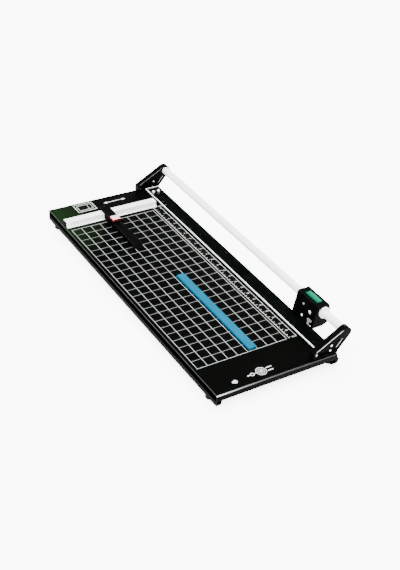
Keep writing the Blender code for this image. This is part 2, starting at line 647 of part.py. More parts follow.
def make_bushes(parent):
    """A flanged nylon bush at each end of the head, sliding on the rail."""
    bore = RAIL_RADIUS + GAP
    profile = [(bore, BUSH_NOSE), (BUSH_RADIUS - 1.0, BUSH_NOSE), (BUSH_RADIUS, BUSH_NOSE - 1.0),
               (BUSH_RADIUS, GAP), (BUSH_SEAT, GAP), (BUSH_SEAT, GAP - BUSH_DEPTH), (bore, GAP - BUSH_DEPTH)]
    for name, side in (("near_bush", -1), ("far_bush", 1)):
        bush = turned(name, profile, "Y", (RAIL_X, HEAD_Y + side * HEAD_LENGTH / 2, RAIL_Z), "nylon",
                      parent, steps=32)
        if side < 0:
            face_back(bush, "Y")


def make_cover(parent):
    """The left-hand cover over the wheel and the roller, with the roller's window and two screws."""
    outline, split = head_outline(), COVER_SPLIT_X
    section = [outline[0], outline[1], (split - GAP, HEAD_TOP), (split - GAP, HEAD_BOTTOM), outline[6]]
    cover = add("head_cover", outline_mesh("head_cover", section, HEAD_LENGTH, "Y"), (0.0, HEAD_Y, 0.0),
                "black_plastic", parent)
    below, ceiling = HEAD_BOTTOM - 2.0, WHEEL_Z + WHEEL_RADIUS + 2.0
    well = [(cheek_x(HEAD_BOTTOM) + COVER_WALL + 0.8, below), (cheek_x(ceiling) + COVER_WALL, ceiling),
            (split + 1.0, ceiling), (split + 1.0, below)]
    cut(cover, outline_mesh("wheel_well", well, 2 * WHEEL_ROOM, "Y"), (0.0, WHEEL_Y, 0.0))
    below, ceiling, depth = HEAD_BOTTOM - 2.0, ROLLER_Z + ROLLER_RADIUS + 1.5, 14.0
    room = box_mesh("roller_well", (depth, 2 * ROLLER_RADIUS + 3.0, ceiling - below))
    cut(cover, room, (ROLLER_X[0] - 0.6 + depth / 2, ROLLER_Y, (below + ceiling) / 2))
    window = box_mesh("roller_window", (12.0, WINDOW_WIDTH, ceiling - 0.5 - below))
    cut(cover, window, (cheek_x(ROLLER_Z), ROLLER_Y, (below + ceiling - 0.5) / 2))
    drill(cover, (cheek_x(WHEEL_Z) + 2.0, WHEEL_Y, WHEEL_Z), "X", AXLE_HEAD[0] + GAP, 12.0)
    head, sunk = (2.9, 1.9), 1.0
    for number, (y, z) in enumerate(COVER_SCREWS, 1):
        x = cheek_x(z)
        drill(cover, (x, y, z), "X", head[0] + GAP, 2 * sunk)
        drill(cover, (x + 4.0, y, z), "X", PIN_RADIUS + GAP, 14.0, 12)
        pan_screw(f"cover_screw_{number}", (x + sunk - GAP, y, z), "X", -1, head,
                  (PIN_RADIUS, split + 5.0 - x), parent=parent)


def make_axle(parent):
    """The wheel's shouldered axle, and the spring washer that presses the wheel on the blade."""
    head_radius, shoulder = AXLE_HEAD
    start = cheek_x(WHEEL_Z) - AXLE_PROUD
    reach = WHEEL_X + WHEEL_THICK / 2 + 8.4 - start
    profile = [(0.0, 0.0), (head_radius - 0.2, 0.0), (head_radius, -0.8), (head_radius, -shoulder),
               (AXLE_RADIUS, -shoulder), (AXLE_RADIUS, -reach), (0.0, -reach)]
    axle = turned("wheel_axle", profile, "X", (start, WHEEL_Y, WHEEL_Z), "zinc_screw", parent, steps=20,
                  closed=False)
    face_back(axle, "X")
    washer = washer_profile((start + shoulder + GAP, WHEEL_X - WHEEL_THICK / 2 - GAP))
    turned("spring_washer", [(radius, height - WHEEL_X) for radius, height in washer], "X",
           (WHEEL_X, WHEEL_Y, WHEEL_Z), "blade_steel", parent, steps=24)


def make_wheel(parent):
    """The round blade, flat on the side that meets the counter blade and bevelled on the other."""
    half, bore = WHEEL_THICK / 2, AXLE_RADIUS + GAP
    rim = [(bore, half), (WHEEL_RADIUS - 3.0, half), (WHEEL_RADIUS, -half + 0.15), (WHEEL_RADIUS, -half),
           (bore, -half)]
    turned("cutting_wheel", rim, "X", (WHEEL_X, WHEEL_Y, WHEEL_Z), "blade_steel", parent, steps=48)


def make_roller(parent, head):
    """The presser roller, which runs along the clamp strip, and its pin in the head."""
    half, radius, bore, edge = (ROLLER_X[1] - ROLLER_X[0]) / 2, ROLLER_RADIUS, PIN_RADIUS + GAP, 0.5
    tyre = [(bore, half), (radius - edge, half), (radius, half - edge), (radius, edge - half),
            (radius - edge, -half), (bore, -half)]
    turned("presser_roller", tyre, "X", (sum(ROLLER_X) / 2, ROLLER_Y, ROLLER_Z), "nylon", parent, steps=32)
    start, end = ROLLER_X[0] - 0.3, COVER_SPLIT_X + 6.0
    pin = cylinder_mesh("roller_pin", PIN_RADIUS, end - start, "X", 16)
    add("roller_pin", pin, ((start + end) / 2, ROLLER_Y, ROLLER_Z), "zinc_screw", head)


def washer_profile(span):
    """A thin cone of spring steel between the axle's shoulder and the wheel."""
    start, end = span
    bore, rim, crown, thick = AXLE_RADIUS + GAP, 7.5, 5.0, 0.5
    return [(bore, end), (rim, end), (rim, end - thick), (crown, start), (bore, start)]


def main():
    rail = make_base()
    near_inner, far_inner = make_rail_and_brackets()
    make_counter_blade(rail, near_inner, far_inner)
    make_fence()
    make_clamp(empty("clamp_guide", ((CLAMP_X[0] + CLAMP_X[1]) / 2, 0.0, CLAMP_Z)))
    make_paper_stop(empty("stop_slide", (sum(STOP_X) / 2, FENCE_Y[0], 0.0)))
    make_magnetic_bar(empty("bar_slide", (sum(BAR_X) / 2, sum(BAR_Y) / 2, 0.0)))
    head_slide = empty("head_slide", (RAIL_X, HEAD_Y, RAIL_Z))
    wheel_axis = empty("wheel_spin", (WHEEL_X, WHEEL_Y, WHEEL_Z), head_slide)
    roller_axis = empty("roller_spin", (sum(ROLLER_X) / 2, ROLLER_Y, ROLLER_Z), head_slide)
    make_inlay(head_slide, make_head_body(head_slide))
    make_bushes(head_slide)
    make_cover(head_slide)
    make_axle(head_slide)
    make_wheel(wheel_axis)
    make_roller(roller_axis, head_slide)


clear_scene()
PARTS = make_collection("rotary_paper_trimmer")
CUTTERS = make_collection("cutters")
LOOKS = {name: make_material(name) for name in MATERIALS}
main()
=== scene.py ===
import math

import bmesh
import bpy
import numpy as np
from mathutils import Matrix, Vector


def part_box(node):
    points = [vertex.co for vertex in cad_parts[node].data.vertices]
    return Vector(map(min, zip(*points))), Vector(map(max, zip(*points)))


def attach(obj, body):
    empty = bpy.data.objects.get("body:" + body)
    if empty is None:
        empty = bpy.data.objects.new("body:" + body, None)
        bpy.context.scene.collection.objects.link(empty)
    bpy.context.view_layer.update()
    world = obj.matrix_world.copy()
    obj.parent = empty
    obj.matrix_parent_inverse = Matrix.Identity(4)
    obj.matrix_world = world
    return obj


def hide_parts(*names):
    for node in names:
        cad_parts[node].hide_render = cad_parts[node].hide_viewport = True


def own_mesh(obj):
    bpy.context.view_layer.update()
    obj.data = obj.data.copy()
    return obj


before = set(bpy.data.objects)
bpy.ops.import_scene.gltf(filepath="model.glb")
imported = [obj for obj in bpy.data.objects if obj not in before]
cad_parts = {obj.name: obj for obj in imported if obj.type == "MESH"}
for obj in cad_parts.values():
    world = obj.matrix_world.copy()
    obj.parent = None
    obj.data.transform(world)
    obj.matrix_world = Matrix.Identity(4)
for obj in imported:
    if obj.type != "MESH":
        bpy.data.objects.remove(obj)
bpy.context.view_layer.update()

# Looks of the rotary paper trimmer. Lengths are millimetres in the board's own frame: its origin is the
# middle of the printed grid on the board's top face, X towards the cutting edge, Y towards the scale bar.
MM = 0.001
PANEL_LO, PANEL_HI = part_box("base_panel")
GRID_TO_LEFT, GRID_TO_NEAR = 124.0, 383.5
ORIGIN = np.array([PANEL_LO.x + GRID_TO_LEFT * MM, PANEL_LO.y + GRID_TO_NEAR * MM, PANEL_HI.z])

INCH = 25.4
GRID_HALF = (4.5 * INCH, 11.5 * INCH)
BLACK = (0.0004, 0.0006, 0.0004)
MARK_SHARP = 60.0             # smoothing angle in degrees of thin printed marks

# Print on the board: heights of the ink's underside and top, then places in X and Y.
INK_LOW, INK_TOP = 0.01, 0.06
RULER_LEFT, RULER_RIGHT = 121.0, 140.0
RULER_NEAR, RULER_FAR = -293.0, 303.0
SHEET_MARK = (-62.0, -10.0, 359.0, 395.0)
ARROW_CENTRE = (47.0, 375.0)

# Metalwork. A bracket's painted highlight lines are the X and Z of their two ends.
SHEET, FOLD_RADIUS = 1.5, 2.2
SLOPE_LINE = ((124.5, 18.4), (193.6, 58.3))
RIM_LINE = ((184.2, 10.4), (201.0, 32.4))
WEB_DEPTH = 5.7               # of the recess in each face of a bracket
LIP_LOW, LIP_RUN, LIP_RISE = 1.2, 4.6, 2.0      # the scale bar's sloping lip

# Cutter head. A screw head is its radius and its length.
COVER_SCREW_HEAD = (2.9, 1.9)
AXLE_HEAD = (3.6, 4.7)
PLATE_HALF, PLATE_THICK = (3.6, 6.4), 0.9


def span(node):
    """A CAD node's box in millimetres of the board frame: low corner, high corner."""
    lo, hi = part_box(node)
    return (np.array(lo) - ORIGIN) / MM, (np.array(hi) - ORIGIN) / MM


# ---------------------------------------------------------------- materials

class Finish:
    """A Principled material with patterns over Object coordinates."""

    def __init__(self, name, colour, roughness, metallic=0.0, **sockets):
        self.material = bpy.data.materials.new(name)
        self.material.use_nodes = True
        self.material.diffuse_color = (*colour, 1.0)
        self.nodes, self.links = self.material.node_tree.nodes, self.material.node_tree.links
        self.inputs = self.nodes["Principled BSDF"].inputs
        self.inputs["Base Color"].default_value = (*colour, 1.0)
        self.inputs["Roughness"].default_value = roughness
        self.inputs["Metallic"].default_value = metallic
        for key, value in sockets.items():
            self.inputs[key.replace("_", " ")].default_value = value
        self.place = self.nodes.new("ShaderNodeTexCoord").outputs["Object"]

    def noise(self, scale, detail=3.0, stretch=(1.0, 1.0, 1.0)):
        """Noise whose stretch multiplies each axis."""
        mapping = self.nodes.new("ShaderNodeMapping")
        mapping.inputs["Scale"].default_value = stretch
        texture = self.nodes.new("ShaderNodeTexNoise")
        texture.inputs["Scale"].default_value = scale
        texture.inputs["Detail"].default_value = detail
        self.links.new(self.place, mapping.inputs["Vector"])
        self.links.new(mapping.outputs["Vector"], texture.inputs["Vector"])
        return texture.outputs["Fac"]

    def along(self, axis):
        """The place along one axis, in metres."""
        split = self.nodes.new("ShaderNodeSeparateXYZ")
        self.links.new(self.place, split.inputs["Vector"])
        return split.outputs[axis]

    def spread(self, factor, low, high, start=0.3, end=0.7):
        """A factor's run from start to end, mapped onto low to high."""
        ranged = self.nodes.new("ShaderNodeMapRange")
        for key, value in (("From Min", start), ("From Max", end), ("To Min", low), ("To Max", high)):
            ranged.inputs[key].default_value = value
        self.links.new(factor, ranged.inputs["Value"])
        return ranged.outputs["Result"]

    def maths(self, operation, first, second):
        """A sum, product or power of a pattern with another, or with a number."""
        node = self.nodes.new("ShaderNodeMath")
        node.operation = operation
        self.links.new(first, node.inputs[0])
        if isinstance(second, float):
            node.inputs[1].default_value = second
        else:
            self.links.new(second, node.inputs[1])
        return node.outputs["Value"]

    def colour(self, factor, first, second, start=0.3, end=0.7):
        """Run from one colour to another as a factor goes from start to end."""
        ramp = self.nodes.new("ShaderNodeValToRGB")
        for element, place, shade in zip(ramp.color_ramp.elements, (start, end), (first, second)):
            element.position = place
            element.color = (*shade, 1.0)
        self.links.new(factor, ramp.inputs["Fac"])
        self.links.new(ramp.outputs["Color"], self.inputs["Base Color"])

    def roughness(self, factor, low, high):
        """Let the roughness follow a factor."""
        self.links.new(self.spread(factor, low, high), self.inputs["Roughness"])

    def bump(self, height, strength, distance):
        """Bend the normal by a height pattern; distance is its depth in metres."""
        node = self.nodes.new("ShaderNodeBump")
        node.inputs["Strength"].default_value = strength
        node.inputs["Distance"].default_value = distance
        self.links.new(height, node.inputs["Height"])
        self.links.new(node.outputs["Normal"], self.inputs["Normal"])


def grained(name, colour, lighter, roughness, grain, depth, metallic=0.0, **sockets):
    """A finish with a fine grain: colour mottling, uneven gloss and a shallow bump at the grain's scale."""
    finish = Finish(name, colour, roughness, metallic, **sockets)
    broad, fine = finish.noise(14.0, 4.0), finish.noise(grain, 2.0)
    finish.colour(broad, colour, lighter)
    finish.roughness(fine, roughness - 0.06, roughness + 0.08)
    finish.bump(fine, 0.35, depth)
    return finish.material


def powder_coat():
    """Black powder coat with an orange-peel bump, and a painted dark green sheen in its far left corner."""
    finish = Finish("powder_coat", BLACK, 0.5, Specular_IOR_Level=0.005)
    centre = finish.nodes.new("ShaderNodeMapping")
    centre.vector_type = "TEXTURE"
    centre.inputs["Location"].default_value = (PANEL_LO.x - 10.0 * MM, PANEL_HI.y - 40.0 * MM, 0.0)
    centre.inputs["Scale"].default_value = (120.0 * MM, 190.0 * MM, 1.0)
    # Painted sheen: a dark green tint that fades out from the panel's far left corner.
    cast = finish.nodes.new("ShaderNodeTexGradient")
    cast.gradient_type = "SPHERICAL"
    finish.links.new(finish.place, centre.inputs["Vector"])
    finish.links.new(centre.outputs["Vector"], cast.inputs["Vector"])
    finish.colour(cast.outputs["Fac"], BLACK, (0.0036, 0.0095, 0.0030), 0.0, 0.75)
    peel = finish.noise(900.0, 2.0)
    finish.roughness(peel, 0.42, 0.58)
    finish.bump(peel, 0.35, 0.00002)
    return finish.material


def worn_fold(name, axis, start, end, tint, peak):
    """A painted highlight along a fold: a light colour that fades out between two places on one axis.

    At share s of the way back from the end, the painted highlight shows as s to the power 7, times its peak.
    """
    finish = Finish(name, BLACK, 0.35, Specular_IOR_Level=0.5)
    fade = finish.spread(finish.along(axis), 1.0, 0.0, start, end)
    patchy = finish.maths("MULTIPLY", finish.maths("POWER", fade, 7.0),
                          finish.spread(finish.noise(420.0), 0.72, 1.0))
    finish.colour(patchy, BLACK, tuple(share * peak for share in tint), 0.0, 1.0)
    return finish.material


def ground_steel(name, axis):
    """Ground steel: fine scratches that run along one axis, with slow tonal bands across them."""
    stretch = [160.0, 160.0, 160.0]
    stretch["XYZ".index(axis)] = 4.0
    finish = Finish(name, (0.56, 0.57, 0.58), 0.24, 1.0)
    scratch = finish.noise(12.0, 5.0, stretch)
    finish.colour(scratch, (0.46, 0.47, 0.48), (0.68, 0.69, 0.70))
    finish.roughness(scratch, 0.16, 0.36)
    finish.bump(scratch, 0.25, 0.00002)
    return finish.material


def plated_rail():
    """Satin-plated tube painted nearly white, a painted reflection of its bright surround, with faint
    polishing marks along it.
    """
    finish = Finish("plated_rail", (0.97, 0.97, 0.95), 0.34, 0.15)
    marks = finish.noise(10.0, 4.0, (90.0, 1.5, 90.0))
    finish.colour(marks, (0.94, 0.94, 0.92), (0.99, 0.99, 0.98))
    finish.roughness(marks, 0.28, 0.40)
    return finish.material


def clear_acrylic():
    """Clear sheet over the dark board: mostly see-through, with faint hair scratches."""
    finish = Finish("clear_acrylic", (0.004, 0.005, 0.005), 0.12, Alpha=0.4, Specular_IOR_Level=0.0)
    hair = finish.noise(30.0, 6.0, (8.0, 1.0, 8.0))
    finish.colour(hair, (0.001, 0.0015, 0.0014), (0.006, 0.008, 0.0075), 0.5, 0.8)
    finish.roughness(hair, 0.08, 0.22)
    return finish.material


def acrylic_edge():
    """Frosted, sawn edge of the clear sheet, which gathers light and shows white."""
    finish = Finish("acrylic_edge", (0.95, 0.97, 0.96), 0.45)
    saw = finish.noise(60.0, 3.0, (1.0, 14.0, 1.0))
    finish.colour(saw, (0.88, 0.91, 0.90), (0.98, 0.99, 0.98))
    finish.bump(saw, 0.3, 0.00005)
    return finish.material


def plastic(name, colour, lighter, roughness, **sockets):
    """Coloured plastic with a very fine grain."""
    return grained(name, colour, lighter, roughness, 800.0, 0.000012, **sockets)


def inlay_green():
    """Green plastic that lightens across the inlay towards its outer side: painted shade on its inner side.
    """
    finish = Finish("inlay_green", (0.0, 0.19, 0.095), 0.5, Specular_IOR_Level=0.006)
    lo, hi = (corner[0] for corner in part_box("head_inlay"))
    # Painted shade: darker at the inlay's inner side, lighter towards its outer side.
    across = finish.spread(finish.along("X"), 0.0, 1.0, lo, hi)
    finish.colour(across, (0.0, 0.070, 0.032), (0.002, 0.155, 0.085), 0.12, 0.95)
    finish.bump(finish.noise(300.0, 2.0), 0.3, 0.00001)
    return finish.material


def printed_ink(name, colour, thin):
    """Screen-printed ink: slightly uneven cover."""
    finish = Finish(name, colour, 0.5)
    finish.colour(finish.noise(260.0), thin, colour)
    return finish.material


LOOKS = {
    # Painted highlights on the panel's folds: a pale line along the near fold, brightest at its left end,
    # and a faint green sheen along the left edge.
    "near_fold": worn_fold("near_fold", "X", PANEL_LO.x, PANEL_HI.x - 20.0 * MM, (0.95, 1.0, 0.97), 0.62),
    "left_fold": worn_fold("left_fold", "Y", PANEL_HI.y, PANEL_HI.y - 330.0 * MM, (0.75, 1.0, 0.72), 0.04),
    # Rounded edges of the black parts: glossier, and painted a little lighter than their faces as a painted
    # highlight along each edge.
    "edge_highlight": grained("edge_highlight", (0.004, 0.005, 0.004), (0.010, 0.012, 0.010), 0.26, 300.0, 0.00001,
                           Specular_IOR_Level=0.2),
    # Light greys painted as highlights: thin lines on the brackets, dimmer on the far bracket's slope, and
    # the glint at the panel's near left corner.
    "painted_highlight": grained("painted_highlight", (0.30, 0.32, 0.30), (0.46, 0.48, 0.46), 0.35, 500.0, 0.00001),
    "dim_painted_highlight": grained("dim_painted_highlight", (0.045, 0.05, 0.045), (0.11, 0.12, 0.11), 0.4, 500.0, 0.00001),
    "powder_coat": powder_coat(),
    "moulded_black": grained("moulded_black", BLACK, (0.0010, 0.0010, 0.0010), 0.5, 1600.0, 0.00002,
                             Specular_IOR_Level=0.006),
    "bracket_black": grained("bracket_black", BLACK, (0.0009, 0.0010, 0.0009), 0.45, 700.0, 0.00003,
                             Specular_IOR_Level=0.006),
    "white_enamel": grained("white_enamel", (0.86, 0.87, 0.86), (0.93, 0.94, 0.93), 0.34, 500.0, 0.000012),
    "blade_steel": ground_steel("blade_steel", "Y"),
    "wheel_steel": ground_steel("wheel_steel", "Z"),
    "plated_rail": plated_rail(),
    "zinc_plate": grained("zinc_plate", (0.40, 0.40, 0.385), (0.58, 0.58, 0.56), 0.30, 700.0, 0.00001,
                          metallic=1.0),
    # Plated metal painted near white, standing for glints on the axle bolt and the cover plate.
    "glint_white_plate": grained("glint_white_plate", (0.80, 0.80, 0.78), (0.92, 0.92, 0.90), 0.35, 700.0, 0.00001),
    "foot_rubber": grained("foot_rubber", (0.0012, 0.0012, 0.0012), (0.003, 0.003, 0.003), 0.82, 1300.0,
                           0.00004, Specular_IOR_Level=0.02),
    "white_nylon": grained("white_nylon", (0.80, 0.81, 0.79), (0.90, 0.91, 0.89), 0.42, 900.0, 0.00001,
                           Subsurface_Weight=0.15, Subsurface_Scale=0.002),
    "clear_acrylic": clear_acrylic(),
    "acrylic_edge": acrylic_edge(),
    "grey_nylon": plastic("grey_nylon", (0.20, 0.21, 0.205), (0.27, 0.28, 0.275), 0.45),
    "cursor_red": plastic("cursor_red", (0.16, 0.002, 0.004), (0.24, 0.008, 0.010), 0.12,
                          Transmission_Weight=0.25, IOR=1.49),
    # The cursor's upper face: pale red, a painted highlight.
    "cursor_top_highlight": plastic("cursor_top_highlight", (0.66, 0.34, 0.32), (0.80, 0.50, 0.48), 0.22),
    "bar_cyan": plastic("bar_cyan", (0.0, 0.075, 0.135), (0.0, 0.090, 0.16), 0.5,
                        Specular_IOR_Level=0.006),
    "inlay_green": inlay_green(),
    "blued_steel": grained("blued_steel", (0.010, 0.011, 0.012), (0.018, 0.019, 0.021), 0.4, 500.0, 0.00001,
                           Specular_IOR_Level=0.05),
    "black_oxide": grained("black_oxide", (0.02, 0.02, 0.022), (0.035, 0.035, 0.038), 0.4, 900.0, 0.00001,
                           metallic=1.0),
    "dark_ferrite": grained("dark_ferrite", (0.03, 0.03, 0.03), (0.06, 0.06, 0.055), 0.6, 900.0, 0.00002),
    "grid_ink": printed_ink("grid_ink", (0.34, 0.36, 0.35), (0.25, 0.27, 0.26)),
    "cross_ink": printed_ink("cross_ink", (0.16, 0.175, 0.17), (0.10, 0.115, 0.11)),
    "white_ink": printed_ink("white_ink", (0.62, 0.64, 0.62), (0.50, 0.52, 0.50)),
    "scale_ink": printed_ink("scale_ink", (0.16, 0.18, 0.17), (0.24, 0.26, 0.25)),
}


# ---------------------------------------------------------------- surfaces

def added(name, data):
    """A new object in the scene."""
    item = bpy.data.objects.new(name, data)
    bpy.context.scene.collection.objects.link(item)
    return item


def grid_faces(rows, columns):
    """Quads between the points of a grid whose columns close on themselves."""
    row, column = np.meshgrid(np.arange(rows - 1), np.arange(columns), indexing="ij")
    across = (column + 1) % columns
    corners = [row * columns + column, row * columns + across,
               (row + 1) * columns + across, (row + 1) * columns + column]
    return np.stack(corners, -1).reshape(-1, 4).tolist()


def piece(name, solid, material, body, replaces=(), sharp=32.0, second=None):
    """Put a solid's (points, faces) into a closed, outward, smooth-shaded mesh that rides on a body."""
    points, faces = solid
    mesh = bpy.data.meshes.new(name)
    mesh.from_pydata((np.asarray(points, float).reshape(-1, 3) * MM + ORIGIN).tolist(), [], faces)
    bm = bmesh.new()
    bm.from_mesh(mesh)
    bmesh.ops.remove_doubles(bm, verts=bm.verts, dist=2e-7)
    bmesh.ops.recalc_face_normals(bm, faces=bm.faces)
    bm.to_mesh(mesh)
    bm.free()
    mesh.shade_smooth()
    mesh.set_sharp_from_angle(angle=math.radians(sharp))
    mesh.materials.append(LOOKS[material])
    if second:
        mesh.materials.append(LOOKS[second])
    item = added(name, mesh)
    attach(item, body)
    if replaces:
        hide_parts(*([replaces] if isinstance(replaces, str) else replaces))
    return item


def ringed(rings):
    """Points and faces of a tube of rings, each (n, 3), with both ends capped."""
    rings = np.asarray(rings, float)
    rows, columns = rings.shape[:2]
    faces = grid_faces(rows, columns)
    faces.append(list(range(columns - 1, -1, -1)))
    faces.append(list(range((rows - 1) * columns, rows * columns)))
    return rings.reshape(-1, 3), faces


def joined(solids):
    """Several (points, faces) solids as one list of points and faces."""
    points, faces, count = [], [], 0
    for some_points, some_faces in solids:
        points.append(np.asarray(some_points, float).reshape(-1, 3))
        faces += [[i + count for i in face] for face in some_faces]
        count += len(points[-1])
    return np.concatenate(points), faces


def rounded(outline, radius, steps=5):
    """A closed outline whose corners are arcs tangent to both their edges.

    At each corner the arc's cut-back is radius / tan(half the corner's angle), held to 45% of the edges.
    radius is one number or one for each corner.
    """
    outline = np.asarray(outline, float)
    radii = np.broadcast_to(radius, len(outline))
    result = []
    for before, corner, after, r in zip(np.roll(outline, 1, 0), outline, np.roll(outline, -1, 0), radii):
        a, b = before - corner, after - corner
        la, lb = np.linalg.norm(a), np.linalg.norm(b)
        a, b = a / la, b / lb
        half = math.acos(float(np.clip(a @ b, -1, 1))) / 2
        if r <= 0 or half > math.radians(87):
            result.append(corner[None])
            continue
        back = min(r / math.tan(half), 0.45 * la, 0.45 * lb)
        r = back * math.tan(half)
        centre = corner + (a + b) / np.linalg.norm(a + b) * r / math.sin(half)
        start, end = corner + a * back - centre, corner + b * back - centre
        angle0 = math.atan2(start[1], start[0])
        turn = (math.atan2(end[1], end[0]) - angle0 + math.pi) % (2 * math.pi) - math.pi
        angles = angle0 + turn * np.linspace(0, 1, steps)
        result.append(centre + r * np.stack([np.cos(angles), np.sin(angles)], -1))
    return np.concatenate(result)


def inset(outline, amount):
    """Move each point of a closed outline inwards along the bisector of its two edges."""
    before, after = outline - np.roll(outline, 1, 0), np.roll(outline, -1, 0) - outline
    before /= np.linalg.norm(before, axis=1, keepdims=True) + 1e-12
    after /= np.linalg.norm(after, axis=1, keepdims=True) + 1e-12
    area = np.sum(outline[:, 0] * np.roll(outline[:, 1], -1) - np.roll(outline[:, 0], -1) * outline[:, 1])
    side = 1.0 if area > 0 else -1.0
    normal = np.stack([-(before + after)[:, 1], (before + after)[:, 0]], -1) * side
    length = np.linalg.norm(normal, axis=1, keepdims=True) + 1e-12
    normal /= length
    stretch = np.clip(2.0 / length, 1.0, 1.6)
    return outline + normal * amount * stretch


def prism(outline, axis, start, end, edge=0.6, steps=4):
    """An outline carried along an axis, its ends rounded over by a quarter circle of radius edge.

    A ring at angle t of the quarter circle sits edge * (1 - cos t) inside the end and is inset by
    edge * (1 - sin t).
    """
    t = np.linspace(0, math.pi / 2, steps)
    depth = edge * (1 - np.cos(t))
    shrink = edge * (1 - np.sin(t))
    places = np.concatenate([start + depth, end - depth[::-1]])
    insets = np.concatenate([shrink, shrink[::-1]])
    order = {"X": (2, 0, 1), "Y": (0, 2, 1), "Z": (0, 1, 2)}[axis]
    rings = []
    for place, amount in zip(places, insets):
        flat = inset(np.asarray(outline, float), amount)
        rings.append(np.column_stack([flat, np.full(len(flat), place)])[:, order])
    return ringed(rings)


def slab(lo, hi, corner=0.8, edge=0.5):
    """A block between two corners with rounded upright corners and rounded-over rims."""
    outline = rounded([(lo[0], lo[1]), (hi[0], lo[1]), (hi[0], hi[1]), (lo[0], hi[1])], corner)
    return prism(outline, "Z", lo[2], hi[2], edge)


def lathe(profile, axis, centre, steps=64):
    """A profile of (radius, height) points turned round an axis through centre.

    Each point goes to radius * (cos a, sin a) across the axis and height along it.
    """
    profile = np.asarray(profile, float)
    angles = np.linspace(0, 2 * math.pi, steps, endpoint=False)
    radius, height = profile[:, :1], profile[:, 1:]
    first, second = radius * np.cos(angles), radius * np.sin(angles)
    along = np.broadcast_to(height, first.shape)
    parts = {"X": (along, first, second), "Y": (second, along, first), "Z": (first, second, along)}[axis]
    return np.stack(parts, -1) + np.asarray(centre, float)


def turned(profile, axis, centre, steps=64, loop=False):
    """A solid of revolution: loop is for a profile that closes on itself, as a ring's does."""
    rings = lathe(profile + [profile[0]] if loop else profile, axis, centre, steps)
    if loop:
        return rings.reshape(-1, 3), grid_faces(*rings.shape[:2])
    return ringed(rings)


def softened(profile, radius, steps=4):
    """A turned profile with its corners rounded, all but its two ends on the axis."""
    radii = [0.0] + [radius] * (len(profile) - 2) + [0.0]
    return rounded(profile, radii, steps).tolist()


def refined(node, material, body, width, segments=3, edge=None):
    """A welded copy of a CAD node's mesh with its sharp edges rounded over, standing for the node.

    edge names the finish of the rounded edges, where it isn't the faces' own.
    """
    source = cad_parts[node]
    bm = bmesh.new()
    bm.from_mesh(source.data)
    bmesh.ops.remove_doubles(bm, verts=bm.verts, dist=2e-6)
    bmesh.ops.dissolve_limit(bm, angle_limit=math.radians(1.0), verts=bm.verts, edges=bm.edges)
    mesh = bpy.data.meshes.new(f"{node}_skin")
    bm.to_mesh(mesh)
    bm.free()
    mesh.materials.clear()
    mesh.materials.append(LOOKS[material])
    if edge:
        mesh.materials.append(LOOKS[edge])
    item = added(f"{node}_skin", mesh)
    rounding = item.modifiers.new("rounding", "BEVEL")
    rounding.width = width * MM
    rounding.segments = segments
    rounding.limit_method = "ANGLE"
    rounding.angle_limit = math.radians(28)
    rounding.use_clamp_overlap = True
    rounding.material = 1 if edge else -1
    mesh.shade_smooth()
    mesh.set_sharp_from_angle(angle=math.radians(40))
    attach(item, body)
    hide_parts(node)
    return item


# ---------------------------------------------------------------- fasteners

def drive_dip(x, y, kind, radius):
    """Depth share, 0 to 1, of a screw's recess at a point: a cross, or a hexagon."""
    if kind == "cross":
        reach, half_slot = radius * 0.62, radius * 0.17
        side_slope, end_slope = radius * 0.06, radius * 0.12
        near = np.minimum(np.abs(x), np.abs(y))
        far = np.maximum(np.abs(x), np.abs(y))
        return np.clip((half_slot - near) / side_slope, 0, 1) * np.clip((reach - far) / end_slope, 0, 1)
    half_flats, slope = radius * 0.52, radius * 0.08
    sector = (np.arctan2(y, x) + math.pi / 6) % (math.pi / 3) - math.pi / 6
    return np.clip((half_flats - np.hypot(x, y) * np.cos(sector)) / slope, 0, 1)


def screw_solid(centre, axis, sign, head, shank, kind="cross", domed=True):
    """A screw: centre is the middle of the head's seat, head and shank are (radius, length).

    The head's face is a polar grid. At share s of the radius a domed one has 1 - 0.42 s^2.4 of the head's
    length, and its rim is a quarter lower. A flat one only has its rim broken. The recess is taken off both.
    """
    (head_radius, head_length), (radius, length) = head, shank
    steps = 72
    angles = np.linspace(0, 2 * math.pi, steps, endpoint=False)
    share = np.concatenate([np.linspace(0.0, 0.86, 26), [0.93, 0.98, 1.0]])[:, None]
    rim = share > 0.99
    r = head_radius * share * np.ones(steps)
    x, y = r * np.cos(angles), r * np.sin(angles)
    height = head_length * (1 - 0.42 * share ** 2.4 - 0.25 * rim) if domed else -0.12 * rim
    dip = 0.55 * max(head_length, 1.2)
    face = np.stack([x, y, height - dip * drive_dip(x, y, kind, head_radius)], -1)
    if domed:
        below = [(head_radius, 0.0), (radius, 0.0), (radius, -length), (0.0, -length)]
    else:
        below = [(radius, -head_length), (radius, -length), (0.0, -length)]
    under = [np.stack([np.cos(angles) * a, np.sin(angles) * a, np.full(steps, b)], -1) for a, b in below]
    rings = np.concatenate([face, np.stack(under)]) * np.array([1.0, 1.0, sign])
    order = {"X": (2, 0, 1), "Y": (1, 2, 0), "Z": (0, 1, 2)}[axis]
    return ringed(rings[..., order] + np.asarray(centre, float))


def make_screw(node, axis, sign, head, shank_radius, body, domed=True):
    """A plated cross-head screw for a CAD node; its head is at the sign end of the node's box.

    head is its (radius, length). A flat head lies within the screw's length, and a domed one stands on it.
    """
    lo, hi = span(node)
    a = "XYZ".index(axis)
    proud = head[1] if domed else 0.0
    centre = (lo + hi) / 2
    centre[a] = hi[a] - proud if sign > 0 else lo[a] + proud
    shank = (shank_radius, hi[a] - lo[a] - proud)
    solid = screw_solid(centre, axis, sign, head, shank, "cross", domed)
    piece(f"{node}_head", solid, "zinc_plate", body, node, sharp=28.0)


# ---------------------------------------------------------------- the pieces

